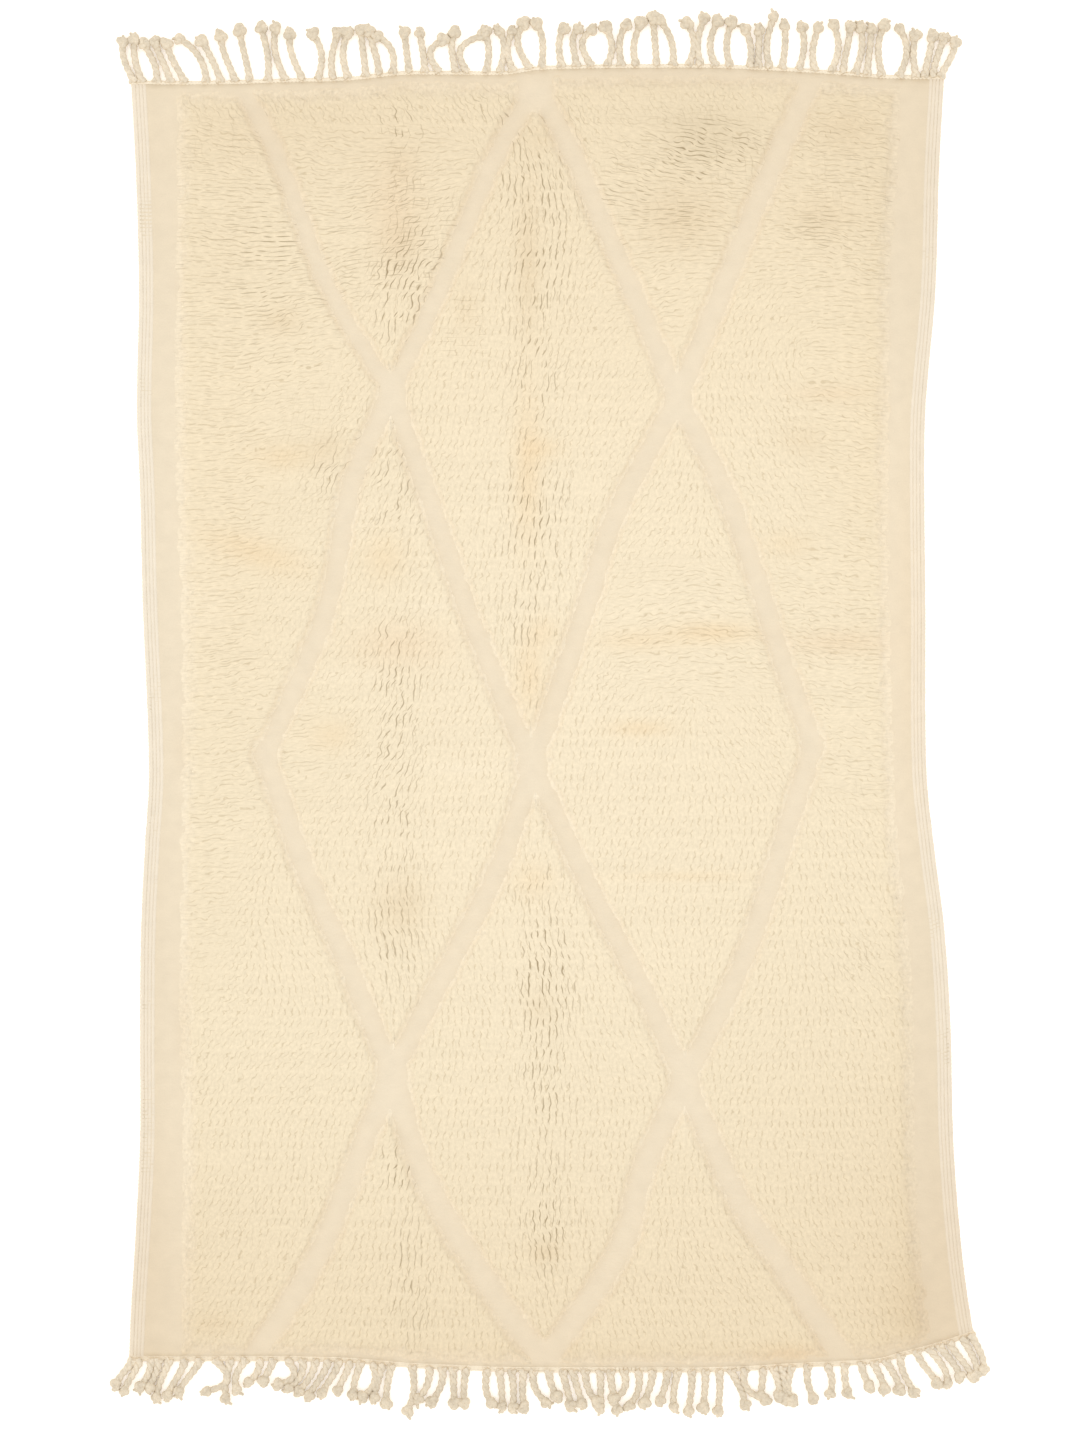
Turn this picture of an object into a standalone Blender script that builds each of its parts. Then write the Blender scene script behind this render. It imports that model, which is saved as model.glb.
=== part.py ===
"""A hand-knotted beni ourain rug of ivory wool, lying flat, with its two fringes of knotted warp ends.

Metres, +Z up. X runs across the rug and Y along it. The origin is on the floor under the middle.
Three sub-parts: the rug, and at each end a narrow heading strip that carries that end's fringe.
"""

import math

import bmesh
import bpy
from mathutils import Vector, noise
from mathutils.geometry import delaunay_2d_cdt

# Driving dimensions of the cloth.
GROUND_THICK = 0.005
PILE_HEIGHT = 0.013
PILE_RIM = 0.012
BAND_WIDTH = 0.036
SELVEDGE_RIBS = 4
RIB_PITCH = 0.0066
RIB_HEIGHT = 0.0022
TOP_BORDER = 0.014
BOTTOM_BORDER = 0.006

# Driving dimensions of the fringes.
HEADING_DEPTH = 0.009
HEADING_THICK = 0.007
PARTING = 0.0003
CORD_WIDTH = 0.0092
CORD_HEIGHT = 0.0085
KNOT_WIDTH = 0.016
KNOT_HEIGHT = 0.014
KNOT_LENGTH = 0.017
TAIL_LENGTH = 0.007
TAIL_WIDTH = 0.005

# How finely the solid follows the cloth.
LINE_STEP = 0.046
RIB_STEP = 0.070
FILL_STEP = 0.060
FILL_CLEAR = 0.026
WELD = 0.0004

# The long sides, a row for each station along the rug, top end first.
# Columns: along, left edge, foot of the pile at the left, foot of it at the right, right edge.
SIDES = (
    (1.230, -0.794, -0.707, 0.669, 0.750),
    (1.029, -0.783, -0.707, 0.661, 0.739),
    (0.801, -0.777, -0.709, 0.648, 0.732),
    (0.573, -0.781, -0.710, 0.646, 0.713),
    (0.421, -0.775, -0.707, 0.644, 0.711),
    (0.212, -0.770, -0.699, 0.646, 0.713),
    (-0.111, -0.758, -0.696, 0.655, 0.715),
    (-0.263, -0.766, -0.699, 0.664, 0.730),
    (-0.415, -0.773, -0.701, 0.682, 0.749),
    (-0.605, -0.775, -0.700, 0.692, 0.761),
    (-0.814, -0.775, -0.694, 0.694, 0.766),
    (-1.004, -0.784, -0.696, 0.705, 0.780),
    (-1.137, -0.792, -0.698, 0.718, 0.797),
    (-1.257, -0.797, -0.699, 0.730, 0.820),
)
TOP_SPAN = (-0.794, 0.750)
BOTTOM_SPAN = (-0.797, 0.808)

# The two ends, a row for each station across the rug. Columns: across, top end, bottom end.
ENDS = (
    (-0.796, 1.199, -1.233),
    (-0.663, 1.198, -1.233),
    (-0.473, 1.203, -1.233),
    (-0.378, 1.206, -1.236),
    (-0.283, 1.216, -1.244),
    (-0.188, 1.217, -1.249),
    (-0.084, 1.217, -1.253),
    (-0.017, 1.226, -1.254),
    (0.211, 1.230, -1.254),
    (0.287, 1.230, -1.254),
    (0.382, 1.227, -1.251),
    (0.477, 1.222, -1.245),
    (0.572, 1.215, -1.241),
    (0.629, 1.210, -1.236),
    (0.667, 1.209, -1.225),
    (0.743, 1.208, -1.205),
    (0.815, 1.207, -1.181),
)

# Where the flat-woven bands of the diamond lattice meet each other or run out at an end.
CROSSINGS = {
    "top_left": (-0.600, 1.211),
    "top_mid": (-0.025, 1.200),
    "top_right": (0.507, 1.215),
    "upper_left": (-0.298, 0.605),
    "upper_right": (0.245, 0.596),
    "left": (-0.538, -0.083),
    "middle": (-0.032, -0.100),
    "right": (0.502, -0.066),
    "lower_left": (-0.298, -0.685),
    "lower_right": (0.258, -0.700),
    "bottom_left": (-0.564, -1.232),
    "bottom_mid": (-0.009, -1.236),
    "bottom_right": (0.560, -1.232),
}

# A row for each band. Columns: crossing it leaves, two places on its way, crossing it reaches.
BANDS = (
    ("top_left", (-0.522, 1.071), (-0.420, 0.808), "upper_left"),
    ("top_mid", (-0.106, 1.044), (-0.207, 0.801), "upper_left"),
    ("top_mid", (0.049, 1.048), (0.173, 0.765), "upper_right"),
    ("top_right", (0.414, 1.010), (0.333, 0.810), "upper_right"),
    ("upper_left", (-0.376, 0.427), (-0.422, 0.193), "left"),
    ("upper_left", (-0.190, 0.297), (-0.141, 0.157), "middle"),
    ("upper_right", (0.125, 0.371), (0.072, 0.200), "middle"),
    ("upper_right", (0.350, 0.381), (0.429, 0.142), "right"),
    ("left", (-0.462, -0.301), (-0.382, -0.480), "lower_left"),
    ("middle", (-0.084, -0.269), (-0.160, -0.427), "lower_left"),
    ("middle", (0.084, -0.345), (0.169, -0.508), "lower_right"),
    ("right", (0.427, -0.303), (0.365, -0.482), "lower_right"),
    ("lower_left", (-0.391, -0.921), (-0.454, -1.063), "bottom_left"),
    ("lower_left", (-0.234, -0.888), (-0.110, -1.095), "bottom_mid"),
    ("lower_right", (0.179, -0.869), (0.135, -1.023), "bottom_mid"),
    ("lower_right", (0.359, -0.926), (0.443, -1.050), "bottom_right"),
)

# Low ridges where the pile has opened along an old fold. Columns: across, height, half width.
FOLD_RIDGES = (
    (-0.293, 0.0022, 0.030),
    (-0.017, 0.0026, 0.034),
)

# The fringes, a row for each bunch of cords. Columns: cords, first root and last root across,
# first knot and last knot across, first knot and last knot along, sideways bow of the cords.
TOP_BUNCHES = (
    (2, -0.788, -0.773, -0.809, -0.788, 1.272, 1.280, 0.000),
    (3, -0.745, -0.692, -0.768, -0.726, 1.268, 1.274, -0.002),
    (1, -0.651, -0.651, -0.701, -0.701, 1.276, 1.276, 0.015),
    (3, -0.623, -0.568, -0.659, -0.587, 1.278, 1.293, 0.004),
    (3, -0.534, -0.468, -0.546, -0.492, 1.301, 1.293, 0.002),
    (3, -0.439, -0.381, -0.448, -0.383, 1.289, 1.295, 0.006),
    (3, -0.348, -0.297, -0.359, -0.315, 1.295, 1.285, -0.006),
    (2, -0.266, -0.236, -0.274, -0.245, 1.295, 1.288, 0.002),
    (1, -0.208, -0.208, -0.201, -0.201, 1.280, 1.280, -0.011),
    (1, -0.177, -0.177, -0.179, -0.179, 1.295, 1.295, 0.000),
    (1, -0.155, -0.155, -0.142, -0.142, 1.289, 1.289, -0.008),
    (3, -0.120, -0.068, -0.120, -0.070, 1.297, 1.293, 0.002),
    (2, -0.037, -0.014, -0.048, -0.024, 1.306, 1.306, 0.000),
    (4, 0.024, 0.109, 0.028, 0.108, 1.295, 1.301, -0.006),
    (2, 0.137, 0.166, 0.147, 0.174, 1.305, 1.305, -0.006),
    (3, 0.204, 0.265, 0.192, 0.262, 1.323, 1.310, 0.004),
    (3, 0.288, 0.344, 0.294, 0.346, 1.314, 1.314, -0.006),
    (2, 0.381, 0.397, 0.372, 0.399, 1.299, 1.294, 0.002),
    (2, 0.419, 0.442, 0.426, 0.447, 1.316, 1.308, 0.000),
    (3, 0.474, 0.535, 0.480, 0.541, 1.302, 1.302, 0.002),
    (3, 0.558, 0.604, 0.572, 0.612, 1.302, 1.298, 0.004),
    (3, 0.632, 0.697, 0.636, 0.695, 1.306, 1.285, 0.000),
    (3, 0.713, 0.743, 0.728, 0.771, 1.287, 1.270, 0.000),
)
BOTTOM_BUNCHES = (
    (2, -0.790, -0.777, -0.822, -0.806, -1.270, -1.287, 0.002),
    (2, -0.755, -0.741, -0.775, -0.757, -1.282, -1.283, 0.000),
    (3, -0.720, -0.662, -0.745, -0.702, -1.300, -1.285, -0.002),
    (1, -0.635, -0.635, -0.650, -0.650, -1.283, -1.283, 0.019),
    (2, -0.604, -0.575, -0.614, -0.593, -1.297, -1.288, -0.006),
    (3, -0.548, -0.498, -0.564, -0.514, -1.272, -1.274, 0.002),
    (3, -0.468, -0.419, -0.494, -0.455, -1.286, -1.292, 0.004),
    (3, -0.399, -0.357, -0.430, -0.372, -1.285, -1.294, 0.002),
    (3, -0.335, -0.299, -0.353, -0.309, -1.297, -1.308, 0.004),
    (1, -0.260, -0.260, -0.268, -0.268, -1.321, -1.321, 0.004),
    (2, -0.227, -0.203, -0.248, -0.222, -1.300, -1.310, 0.006),
    (2, -0.182, -0.157, -0.180, -0.161, -1.314, -1.314, -0.002),
    (4, -0.117, -0.048, -0.109, -0.048, -1.310, -1.316, 0.004),
    (2, -0.029, 0.000, -0.006, 0.015, -1.307, -1.298, 0.000),
    (2, 0.026, 0.046, 0.041, 0.062, -1.314, -1.310, -0.002),
    (2, 0.069, 0.097, 0.081, 0.101, -1.316, -1.316, 0.000),
    (2, 0.117, 0.142, 0.121, 0.140, -1.306, -1.320, 0.002),
    (3, 0.169, 0.224, 0.160, 0.211, -1.312, -1.301, 0.002),
    (4, 0.245, 0.323, 0.237, 0.321, -1.316, -1.323, 0.002),
    (1, 0.346, 0.346, 0.372, 0.372, -1.316, -1.316, 0.006),
    (2, 0.373, 0.406, 0.396, 0.416, -1.301, -1.302, 0.000),
    (3, 0.426, 0.461, 0.437, 0.477, -1.297, -1.306, -0.004),
    (3, 0.492, 0.562, 0.501, 0.566, -1.298, -1.292, 0.000),
    (3, 0.594, 0.639, 0.608, 0.665, -1.282, -1.289, 0.000),
    (2, 0.668, 0.698, 0.692, 0.726, -1.289, -1.280, 0.000),
    (3, 0.721, 0.760, 0.749, 0.785, -1.278, -1.255, 0.002),
    (2, 0.785, 0.801, 0.807, 0.825, -1.257, -1.240, -0.002),
)

IVORY_PILE = (0.88, 0.79, 0.61)
UNDYED_WARP = (0.80, 0.71, 0.55)


def clear_scene():
    """Removes whatever the scene starts with."""
    for obj in list(bpy.data.objects):
        bpy.data.objects.remove(obj, do_unlink=True)


def wool(name, colour):
    """A matt wool material."""
    material = bpy.data.materials.new(name)
    material.use_nodes = True
    shader = material.node_tree.nodes["Principled BSDF"]
    shader.inputs["Base Color"].default_value = (*colour, 1.0)
    shader.inputs["Roughness"].default_value = 0.95
    shader.inputs["Metallic"].default_value = 0.0
    return material


def read_off(table, place, column):
    """A column of a station table, read off a smooth curve at a place between two of its rows."""
    rows = sorted(table)
    place = min(max(place, rows[0][0]), rows[-1][0])
    low = max(i for i in range(len(rows) - 1) if rows[i][0] <= place)
    before, after = max(low - 1, 0), min(low + 2, len(rows) - 1)
    span = rows[low + 1][0] - rows[low][0]
    t = (place - rows[low][0]) / span
    start, end = rows[low][column], rows[low + 1][column]
    rise_in = span * (end - rows[before][column]) / (rows[low + 1][0] - rows[before][0])
    rise_out = span * (rows[after][column] - start) / (rows[after][0] - rows[low][0])
    return (
        start * (1 - t) ** 2 * (1 + 2 * t)
        + end * t * t * (3 - 2 * t)
        + rise_in * t * (1 - t) ** 2
        - rise_out * t * t * (1 - t)
    )


def top_end(across):
    return read_off(ENDS, across, 1)


def bottom_end(across):
    return read_off(ENDS, across, 2)


def steps(start, end, step):
    """Even places from start to end, about a step apart."""
    count = max(1, round(abs(end - start) / step))
    return [start + (end - start) * i / count for i in range(count + 1)]


def smooth_curve(corners, step):
    """Points a step apart on the smooth curve that passes through all the corners."""
    ends = [2 * corners[0] - corners[1], *corners, 2 * corners[-1] - corners[-2]]
    points = []
    for a, b, c, d in zip(ends, ends[1:], ends[2:], ends[3:]):
        for t in steps(0.0, 1.0, step / (c - b).length)[:-1]:
            points.append(
                b
                + (c - a) * (t / 2)
                + (2 * a - 5 * b + 4 * c - d) * (t * t / 2)
                + (3 * b - a - 3 * c + d) * (t ** 3 / 2)
            )
    return points + [corners[-1]]


def band_lines():
    """The middle line of every flat-woven band."""
    lines = []
    for start, first, second, end in BANDS:
        corners = [Vector(place) for place in (CROSSINGS[start], first, second, CROSSINGS[end])]
        lines.append(smooth_curve(corners, LINE_STEP))
    return lines


def distance_to(point, line):
    """The distance from a point to a line of short straight pieces."""
    nearest = math.inf
    for a, b in zip(line, line[1:]):
        along = b - a
        share = min(max((point - a).dot(along) / along.length_squared, 0.0), 1.0)
        nearest = min(nearest, (point - a - along * share).length)
    return nearest


def inside_pile(point, lines):
    """How far a point is inside the pile's edge, negative on the flat-woven cloth."""
    across, along = point
    to_band = min(distance_to(point, line) for line in lines) - BAND_WIDTH / 2
    return min(
        to_band,
        across - read_off(SIDES, along, 2),
        read_off(SIDES, along, 3) - across,
        top_end(across) - HEADING_DEPTH - TOP_BORDER - along,
        along - bottom_end(across) - HEADING_DEPTH - BOTTOM_BORDER,
    )


def face_height(point, lines):
    """The height of the rug's upper face: ribbed selvedge, flat cloth or lumpy pile."""
    across, along = point
    from_edge = min(across - read_off(SIDES, along, 1), read_off(SIDES, along, 4) - across)
    if from_edge < SELVEDGE_RIBS * RIB_PITCH:
        return GROUND_THICK + RIB_HEIGHT * (0.5 - 0.5 * math.cos(2 * math.pi * from_edge / RIB_PITCH))
    depth = inside_pile(point, lines)
    if depth <= 0:
        return GROUND_THICK
    share = min(depth / PILE_RIM, 1.0)
    rise = PILE_HEIGHT * math.sin(share * math.pi / 2)
    lumps = 0.0016 * noise.noise(Vector((across, along, 0.0)) * 9)
    lumps += 0.0012 * noise.noise(Vector((across, along, 3.0)) * 26)
    ridges = sum(
        height * math.exp(-((across - middle) / half) ** 2) for middle, height, half in FOLD_RIDGES
    )
    return GROUND_THICK + rise + share * (lumps + ridges)


def cords_of(bunches):
    """Root across, knot centre and bow of every cord, worked out from the rows of bunches."""
    cords = []
    for count, root_a, root_b, knot_a, knot_b, along_a, along_b, bow in bunches:
        for i in range(count):
            share = i / (count - 1) if count > 1 else 0.0
            root = root_a + (root_b - root_a) * share
            knot = Vector((knot_a + (knot_b - knot_a) * share, along_a + (along_b - along_a) * share))
            cords.append((root, knot, bow))
    return cords


def heading_stations(bunches, span):
    """Places along a heading strip: its two ends and both sides of every cord's root."""
    stations = [span[0]]
    for root, _, _ in cords_of(bunches):
        stations += [root - CORD_WIDTH / 2, root + CORD_WIDTH / 2]
    return stations + [span[1]]


def rug_outline():
    """The closed outline of the rug between its heading strips, anticlockwise."""
    reach = HEADING_DEPTH + PARTING
    bottom = [(x, bottom_end(x) + reach) for x in heading_stations(BOTTOM_BUNCHES, BOTTOM_SPAN)]
    top = [(x, top_end(x) - reach) for x in reversed(heading_stations(TOP_BUNCHES, TOP_SPAN))]
    right = steps(bottom[-1][1], top[0][1], RIB_STEP)[1:-1]
    left = steps(top[-1][1], bottom[0][1], RIB_STEP)[1:-1]
    outline = bottom + [(read_off(SIDES, y, 4), y) for y in right]
    outline += top + [(read_off(SIDES, y, 1), y) for y in left]
    return [Vector(place) for place in outline]


def rib_lines():
    """Crest and trough lines of the corded selvedges, as rows of points."""
    lines = []
    for column, inward in ((1, 1), (4, -1)):
        for half in range(1, 2 * SELVEDGE_RIBS + 1):
            offset = inward * half * RIB_PITCH / 2
            edge = read_off(SIDES, -1.2, column) + offset
            ends = (bottom_end(edge) + HEADING_DEPTH + 0.004, top_end(edge) - HEADING_DEPTH - 0.004)
            lines.append(
                [Vector((read_off(SIDES, y, column) + offset, y)) for y in steps(*ends, RIB_STEP)]
            )
    return lines


def pile_edge_lines(bands):
    """Foot and shoulder of the pile along the bands, the borders and the ends."""
    lines = []
    for band in bands:
        for side in (-1, 1):
            for away in (BAND_WIDTH / 2, BAND_WIDTH / 2 + PILE_RIM):
                row = []
                for before, after in zip(band, band[1:]):
                    along = (after - before).normalized()
                    normal = Vector((-along.y, along.x))
                    row.append((before + after) / 2 + normal * away * side)
                lines.append(row)
    for column, inward in ((2, 1), (3, -1)):
        for away in (0.0, PILE_RIM):
            ys = steps(-1.2, 1.17, LINE_STEP)
            lines.append([Vector((read_off(SIDES, y, column) + inward * away, y)) for y in ys])
    left = read_off(SIDES, -1.2, 2)
    right = read_off(SIDES, -1.2, 3)
    for away in (0.0, PILE_RIM):
        top_gap = HEADING_DEPTH + TOP_BORDER + away
        bottom_gap = HEADING_DEPTH + BOTTOM_BORDER + away
        xs = steps(left + away, right - away, LINE_STEP)
        lines.append([Vector((x, top_end(x) - top_gap)) for x in xs])
        lines.append([Vector((x, bottom_end(x) + bottom_gap)) for x in xs])
    return lines


def within(point, outline):
    """Whether a point is inside a closed outline."""
    inside = False
    for a, b in zip(outline, outline[1:] + outline[:1]):
        if (a.y > point.y) != (b.y > point.y):
            if point.x < a.x + (point.y - a.y) * (b.x - a.x) / (b.y - a.y):
                inside = not inside
    return inside


def fill_points(taken):
    """Staggered points over the pile that keep clear of those already taken."""
    points = []
    for row, y in enumerate(steps(-1.2, 1.2, FILL_STEP * 0.87)):
        for x in steps(-0.78, 0.80, FILL_STEP):
            point = Vector((x + FILL_STEP / 2 * (row % 2), y))
            if min((point - other).length for other in taken) > FILL_CLEAR:
                points.append(point)
    return points


def keep_clear_runs(line, outline, bands):
    """The stretches of a pile edge line that lie on the pile or at its foot, inside the rug."""
    runs = [[]]
    for point in line:
        if within(point, outline) and inside_pile(point, bands) > -0.003:
            runs[-1].append(point)
        elif runs[-1]:
            runs.append([])
    return [run for run in runs if run]


def make_rug():
    """The rug: a flat back, flat-woven borders and bands, ribbed selvedges and raised pile."""
    bands = band_lines()
    outline = rug_outline()
    places = list(outline)
    edges = [(i, (i + 1) % len(outline)) for i in range(len(outline))]
    runs = [line for line in rib_lines()]
    for line in pile_edge_lines(bands):
        runs += keep_clear_runs(line, outline, bands)
    for run in runs:
        first = len(places)
        places += run
        edges += [(first + i, first + i + 1) for i in range(len(run) - 1)]
    places += [point for point in fill_points(places) if within(point, outline)]
    flat, _, triangles, _, _, _ = delaunay_2d_cdt(places, edges, [], 1, WELD)

    bm = bmesh.new()
    verts = [bm.verts.new((point.x, point.y, face_height(point, bands))) for point in flat]
    for triangle in triangles:
        bm.faces.new([verts[i] for i in triangle])
    for vert in [vert for vert in bm.verts if not vert.link_faces]:
        bm.verts.remove(vert)
    rim = [edge for edge in bm.edges if edge.is_boundary]
    for vert in {vert for edge in rim for vert in edge.verts}:
        vert.co.z = GROUND_THICK
    skirt = bmesh.ops.extrude_edge_only(bm, edges=rim)["geom"]
    for vert in [item for item in skirt if isinstance(item, bmesh.types.BMVert)]:
        vert.co.z = 0.0
    back = [edge for edge in bm.edges if edge.is_boundary]
    bmesh.ops.contextual_create(bm, geom=back)
    return finish_part("rug", bm, wool("ivory_wool_pile", IVORY_PILE))


def cross_section(centre, across, width, height):
    """Four corners of a cord lying on the floor, a little narrower at the top."""
    half = across * (width / 2)
    low_a = centre - half
    low_b = centre + half
    high_a = centre - half * 0.72
    high_b = centre + half * 0.72
    return [
        Vector((*low_a, 0.0)),
        Vector((*high_a, height)),
        Vector((*high_b, height)),
        Vector((*low_b, 0.0)),
    ]


def cord_sections(root, knot, bow, outward):
    """Sections of one cord from its root to the loose tail beyond its knot."""
    path = knot - root
    length = path.length
    along = path / length
    across = Vector((along.y, -along.x)) * outward
    bend = Vector((bow, 0.0))
    into_knot = knot - along * (KNOT_LENGTH / 2)
    out_of_knot = knot + along * (KNOT_LENGTH / 2)
    sections = [
        (root + (into_knot - root) * 0.36 + bend * 0.8, CORD_WIDTH, CORD_HEIGHT),
        (root + (into_knot - root) * 0.70 + bend, CORD_WIDTH * 0.94, CORD_HEIGHT),
        (into_knot, CORD_WIDTH, CORD_HEIGHT),
        (knot, KNOT_WIDTH, KNOT_HEIGHT),
        (out_of_knot, TAIL_WIDTH * 1.5, CORD_HEIGHT),
        (out_of_knot + along * TAIL_LENGTH, TAIL_WIDTH, CORD_HEIGHT * 0.6),
    ]
    return [cross_section(centre, across, width, height) for centre, width, height in sections]


def make_fringe(name, bunches, span, end_line, outward):
    """A heading strip along one end of the rug with its row of knotted cords."""
    bm = bmesh.new()
    rings = []
    for x in heading_stations(bunches, span):
        outer = end_line(x)
        inner = outer - outward * HEADING_DEPTH
        corners = ((outer, 0.0), (outer, HEADING_THICK), (inner, HEADING_THICK), (inner, 0.0))
        rings.append([bm.verts.new((x, y, z)) for y, z in corners])
    outer_faces = []
    for ring, after in zip(rings, rings[1:]):
        for i in range(4):
            j = (i + 1) % 4
            face = bm.faces.new((ring[i], ring[j], after[j], after[i]))
            if i == 0:
                outer_faces.append(face)
    bm.faces.new(rings[0])
    bm.faces.new(rings[-1])

    for (root, knot, bow), face in zip(cords_of(bunches), outer_faces[1::2]):
        base = Vector((root, end_line(root)))
        for section in cord_sections(base, knot, bow, outward):
            face = bmesh.ops.extrude_discrete_faces(bm, faces=[face])["faces"][0]
            for vert, place in zip(face.verts, section):
                vert.co = place
    return finish_part(name, bm, wool(name + "_warp", UNDYED_WARP))


def finish_part(name, bm, material):
    """Turns the faces outward and puts the finished mesh in the scene."""
    bmesh.ops.recalc_face_normals(bm, faces=bm.faces)
    mesh = bpy.data.meshes.new(name)
    bm.to_mesh(mesh)
    bm.free()
    mesh.materials.append(material)
    mesh.shade_smooth()
    mesh.set_sharp_from_angle(angle=math.radians(50))
    obj = bpy.data.objects.new(name, mesh)
    bpy.context.scene.collection.objects.link(obj)
    return obj


clear_scene()
make_rug()
make_fringe("fringe_top", TOP_BUNCHES, TOP_SPAN, top_end, 1)
make_fringe("fringe_bottom", BOTTOM_BUNCHES, BOTTOM_SPAN, bottom_end, -1)
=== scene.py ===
import math

import bmesh
import bpy
import numpy as np
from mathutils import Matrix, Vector, noise


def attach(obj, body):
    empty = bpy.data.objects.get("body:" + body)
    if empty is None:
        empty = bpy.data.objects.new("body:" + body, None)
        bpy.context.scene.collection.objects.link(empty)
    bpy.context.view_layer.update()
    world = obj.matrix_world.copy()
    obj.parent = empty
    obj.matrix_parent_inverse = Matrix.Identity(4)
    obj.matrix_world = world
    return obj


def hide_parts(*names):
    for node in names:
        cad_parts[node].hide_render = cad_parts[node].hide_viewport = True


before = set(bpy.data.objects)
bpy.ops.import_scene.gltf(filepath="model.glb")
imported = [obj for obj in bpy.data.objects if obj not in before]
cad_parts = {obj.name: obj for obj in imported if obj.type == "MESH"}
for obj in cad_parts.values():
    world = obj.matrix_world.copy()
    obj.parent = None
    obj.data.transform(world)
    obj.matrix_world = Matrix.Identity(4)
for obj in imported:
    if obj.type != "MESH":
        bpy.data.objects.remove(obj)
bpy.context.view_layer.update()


# The ground cloth: a weft-faced flat weave of undyed ivory wool over wool warps, woven in one piece
# with the pile. It shows in the borders and as the bands of the diamond lattice, smooth and a shade
# greyer than the pile. It lies flat on the floor and everything else is worked into it.
GROUND_THICK = 0.005
GROUND_SINK = 0.0003
GROUND_RIPPLE = 0.0005
GROUND_CELLS = (90, 140)
HEADING_DEPTH = 0.009
UNDER_HEADING = 0.0065
EDGE_ROOM = 0.003
WEFT_PITCH = 0.0024
WEFT_WANDER = 0.004
FIBRE_GRAIN = 420.0
FLAT_STAINS = 0.6
GROUND_WOOL = (0.790, 0.683, 0.518)

# The long sides. Columns: along, left edge, foot of the pile at the left, the same at the right,
# right edge.
SIDES = (
    (1.23, -0.794, -0.707, 0.669, 0.75),
    (1.029, -0.783, -0.707, 0.661, 0.739),
    (0.801, -0.777, -0.709, 0.648, 0.732),
    (0.573, -0.781, -0.71, 0.646, 0.713),
    (0.421, -0.775, -0.707, 0.644, 0.711),
    (0.212, -0.77, -0.699, 0.646, 0.713),
    (-0.111, -0.758, -0.696, 0.655, 0.715),
    (-0.263, -0.766, -0.699, 0.664, 0.73),
    (-0.415, -0.773, -0.701, 0.682, 0.749),
    (-0.605, -0.775, -0.7, 0.692, 0.761),
    (-0.814, -0.775, -0.694, 0.694, 0.766),
    (-1.004, -0.784, -0.696, 0.705, 0.78),
    (-1.137, -0.792, -0.698, 0.718, 0.797),
    (-1.257, -0.797, -0.699, 0.73, 0.82),
)

# The two ends. Columns: across, top end, bottom end.
ENDS = (
    (-0.796, 1.199, -1.233),
    (-0.663, 1.198, -1.233),
    (-0.473, 1.203, -1.233),
    (-0.378, 1.206, -1.236),
    (-0.283, 1.216, -1.244),
    (-0.188, 1.217, -1.249),
    (-0.084, 1.217, -1.253),
    (-0.017, 1.226, -1.254),
    (0.211, 1.23, -1.254),
    (0.287, 1.23, -1.254),
    (0.382, 1.227, -1.251),
    (0.477, 1.222, -1.245),
    (0.572, 1.215, -1.241),
    (0.629, 1.21, -1.236),
    (0.667, 1.209, -1.225),
    (0.743, 1.208, -1.205),
    (0.815, 1.207, -1.181),
)

# What a full stain of each kind multiplies the red, green and blue of the wool by.
TONES = {
    "grime": (0.82, 0.8, 0.76),
    "brown": (0.9, 0.855, 0.8),
    "amber": (0.98, 0.9, 0.8),
    "peach": (0.97, 0.91, 0.87),
    "pale": (1.05, 1.06, 1.09),
}

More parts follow.
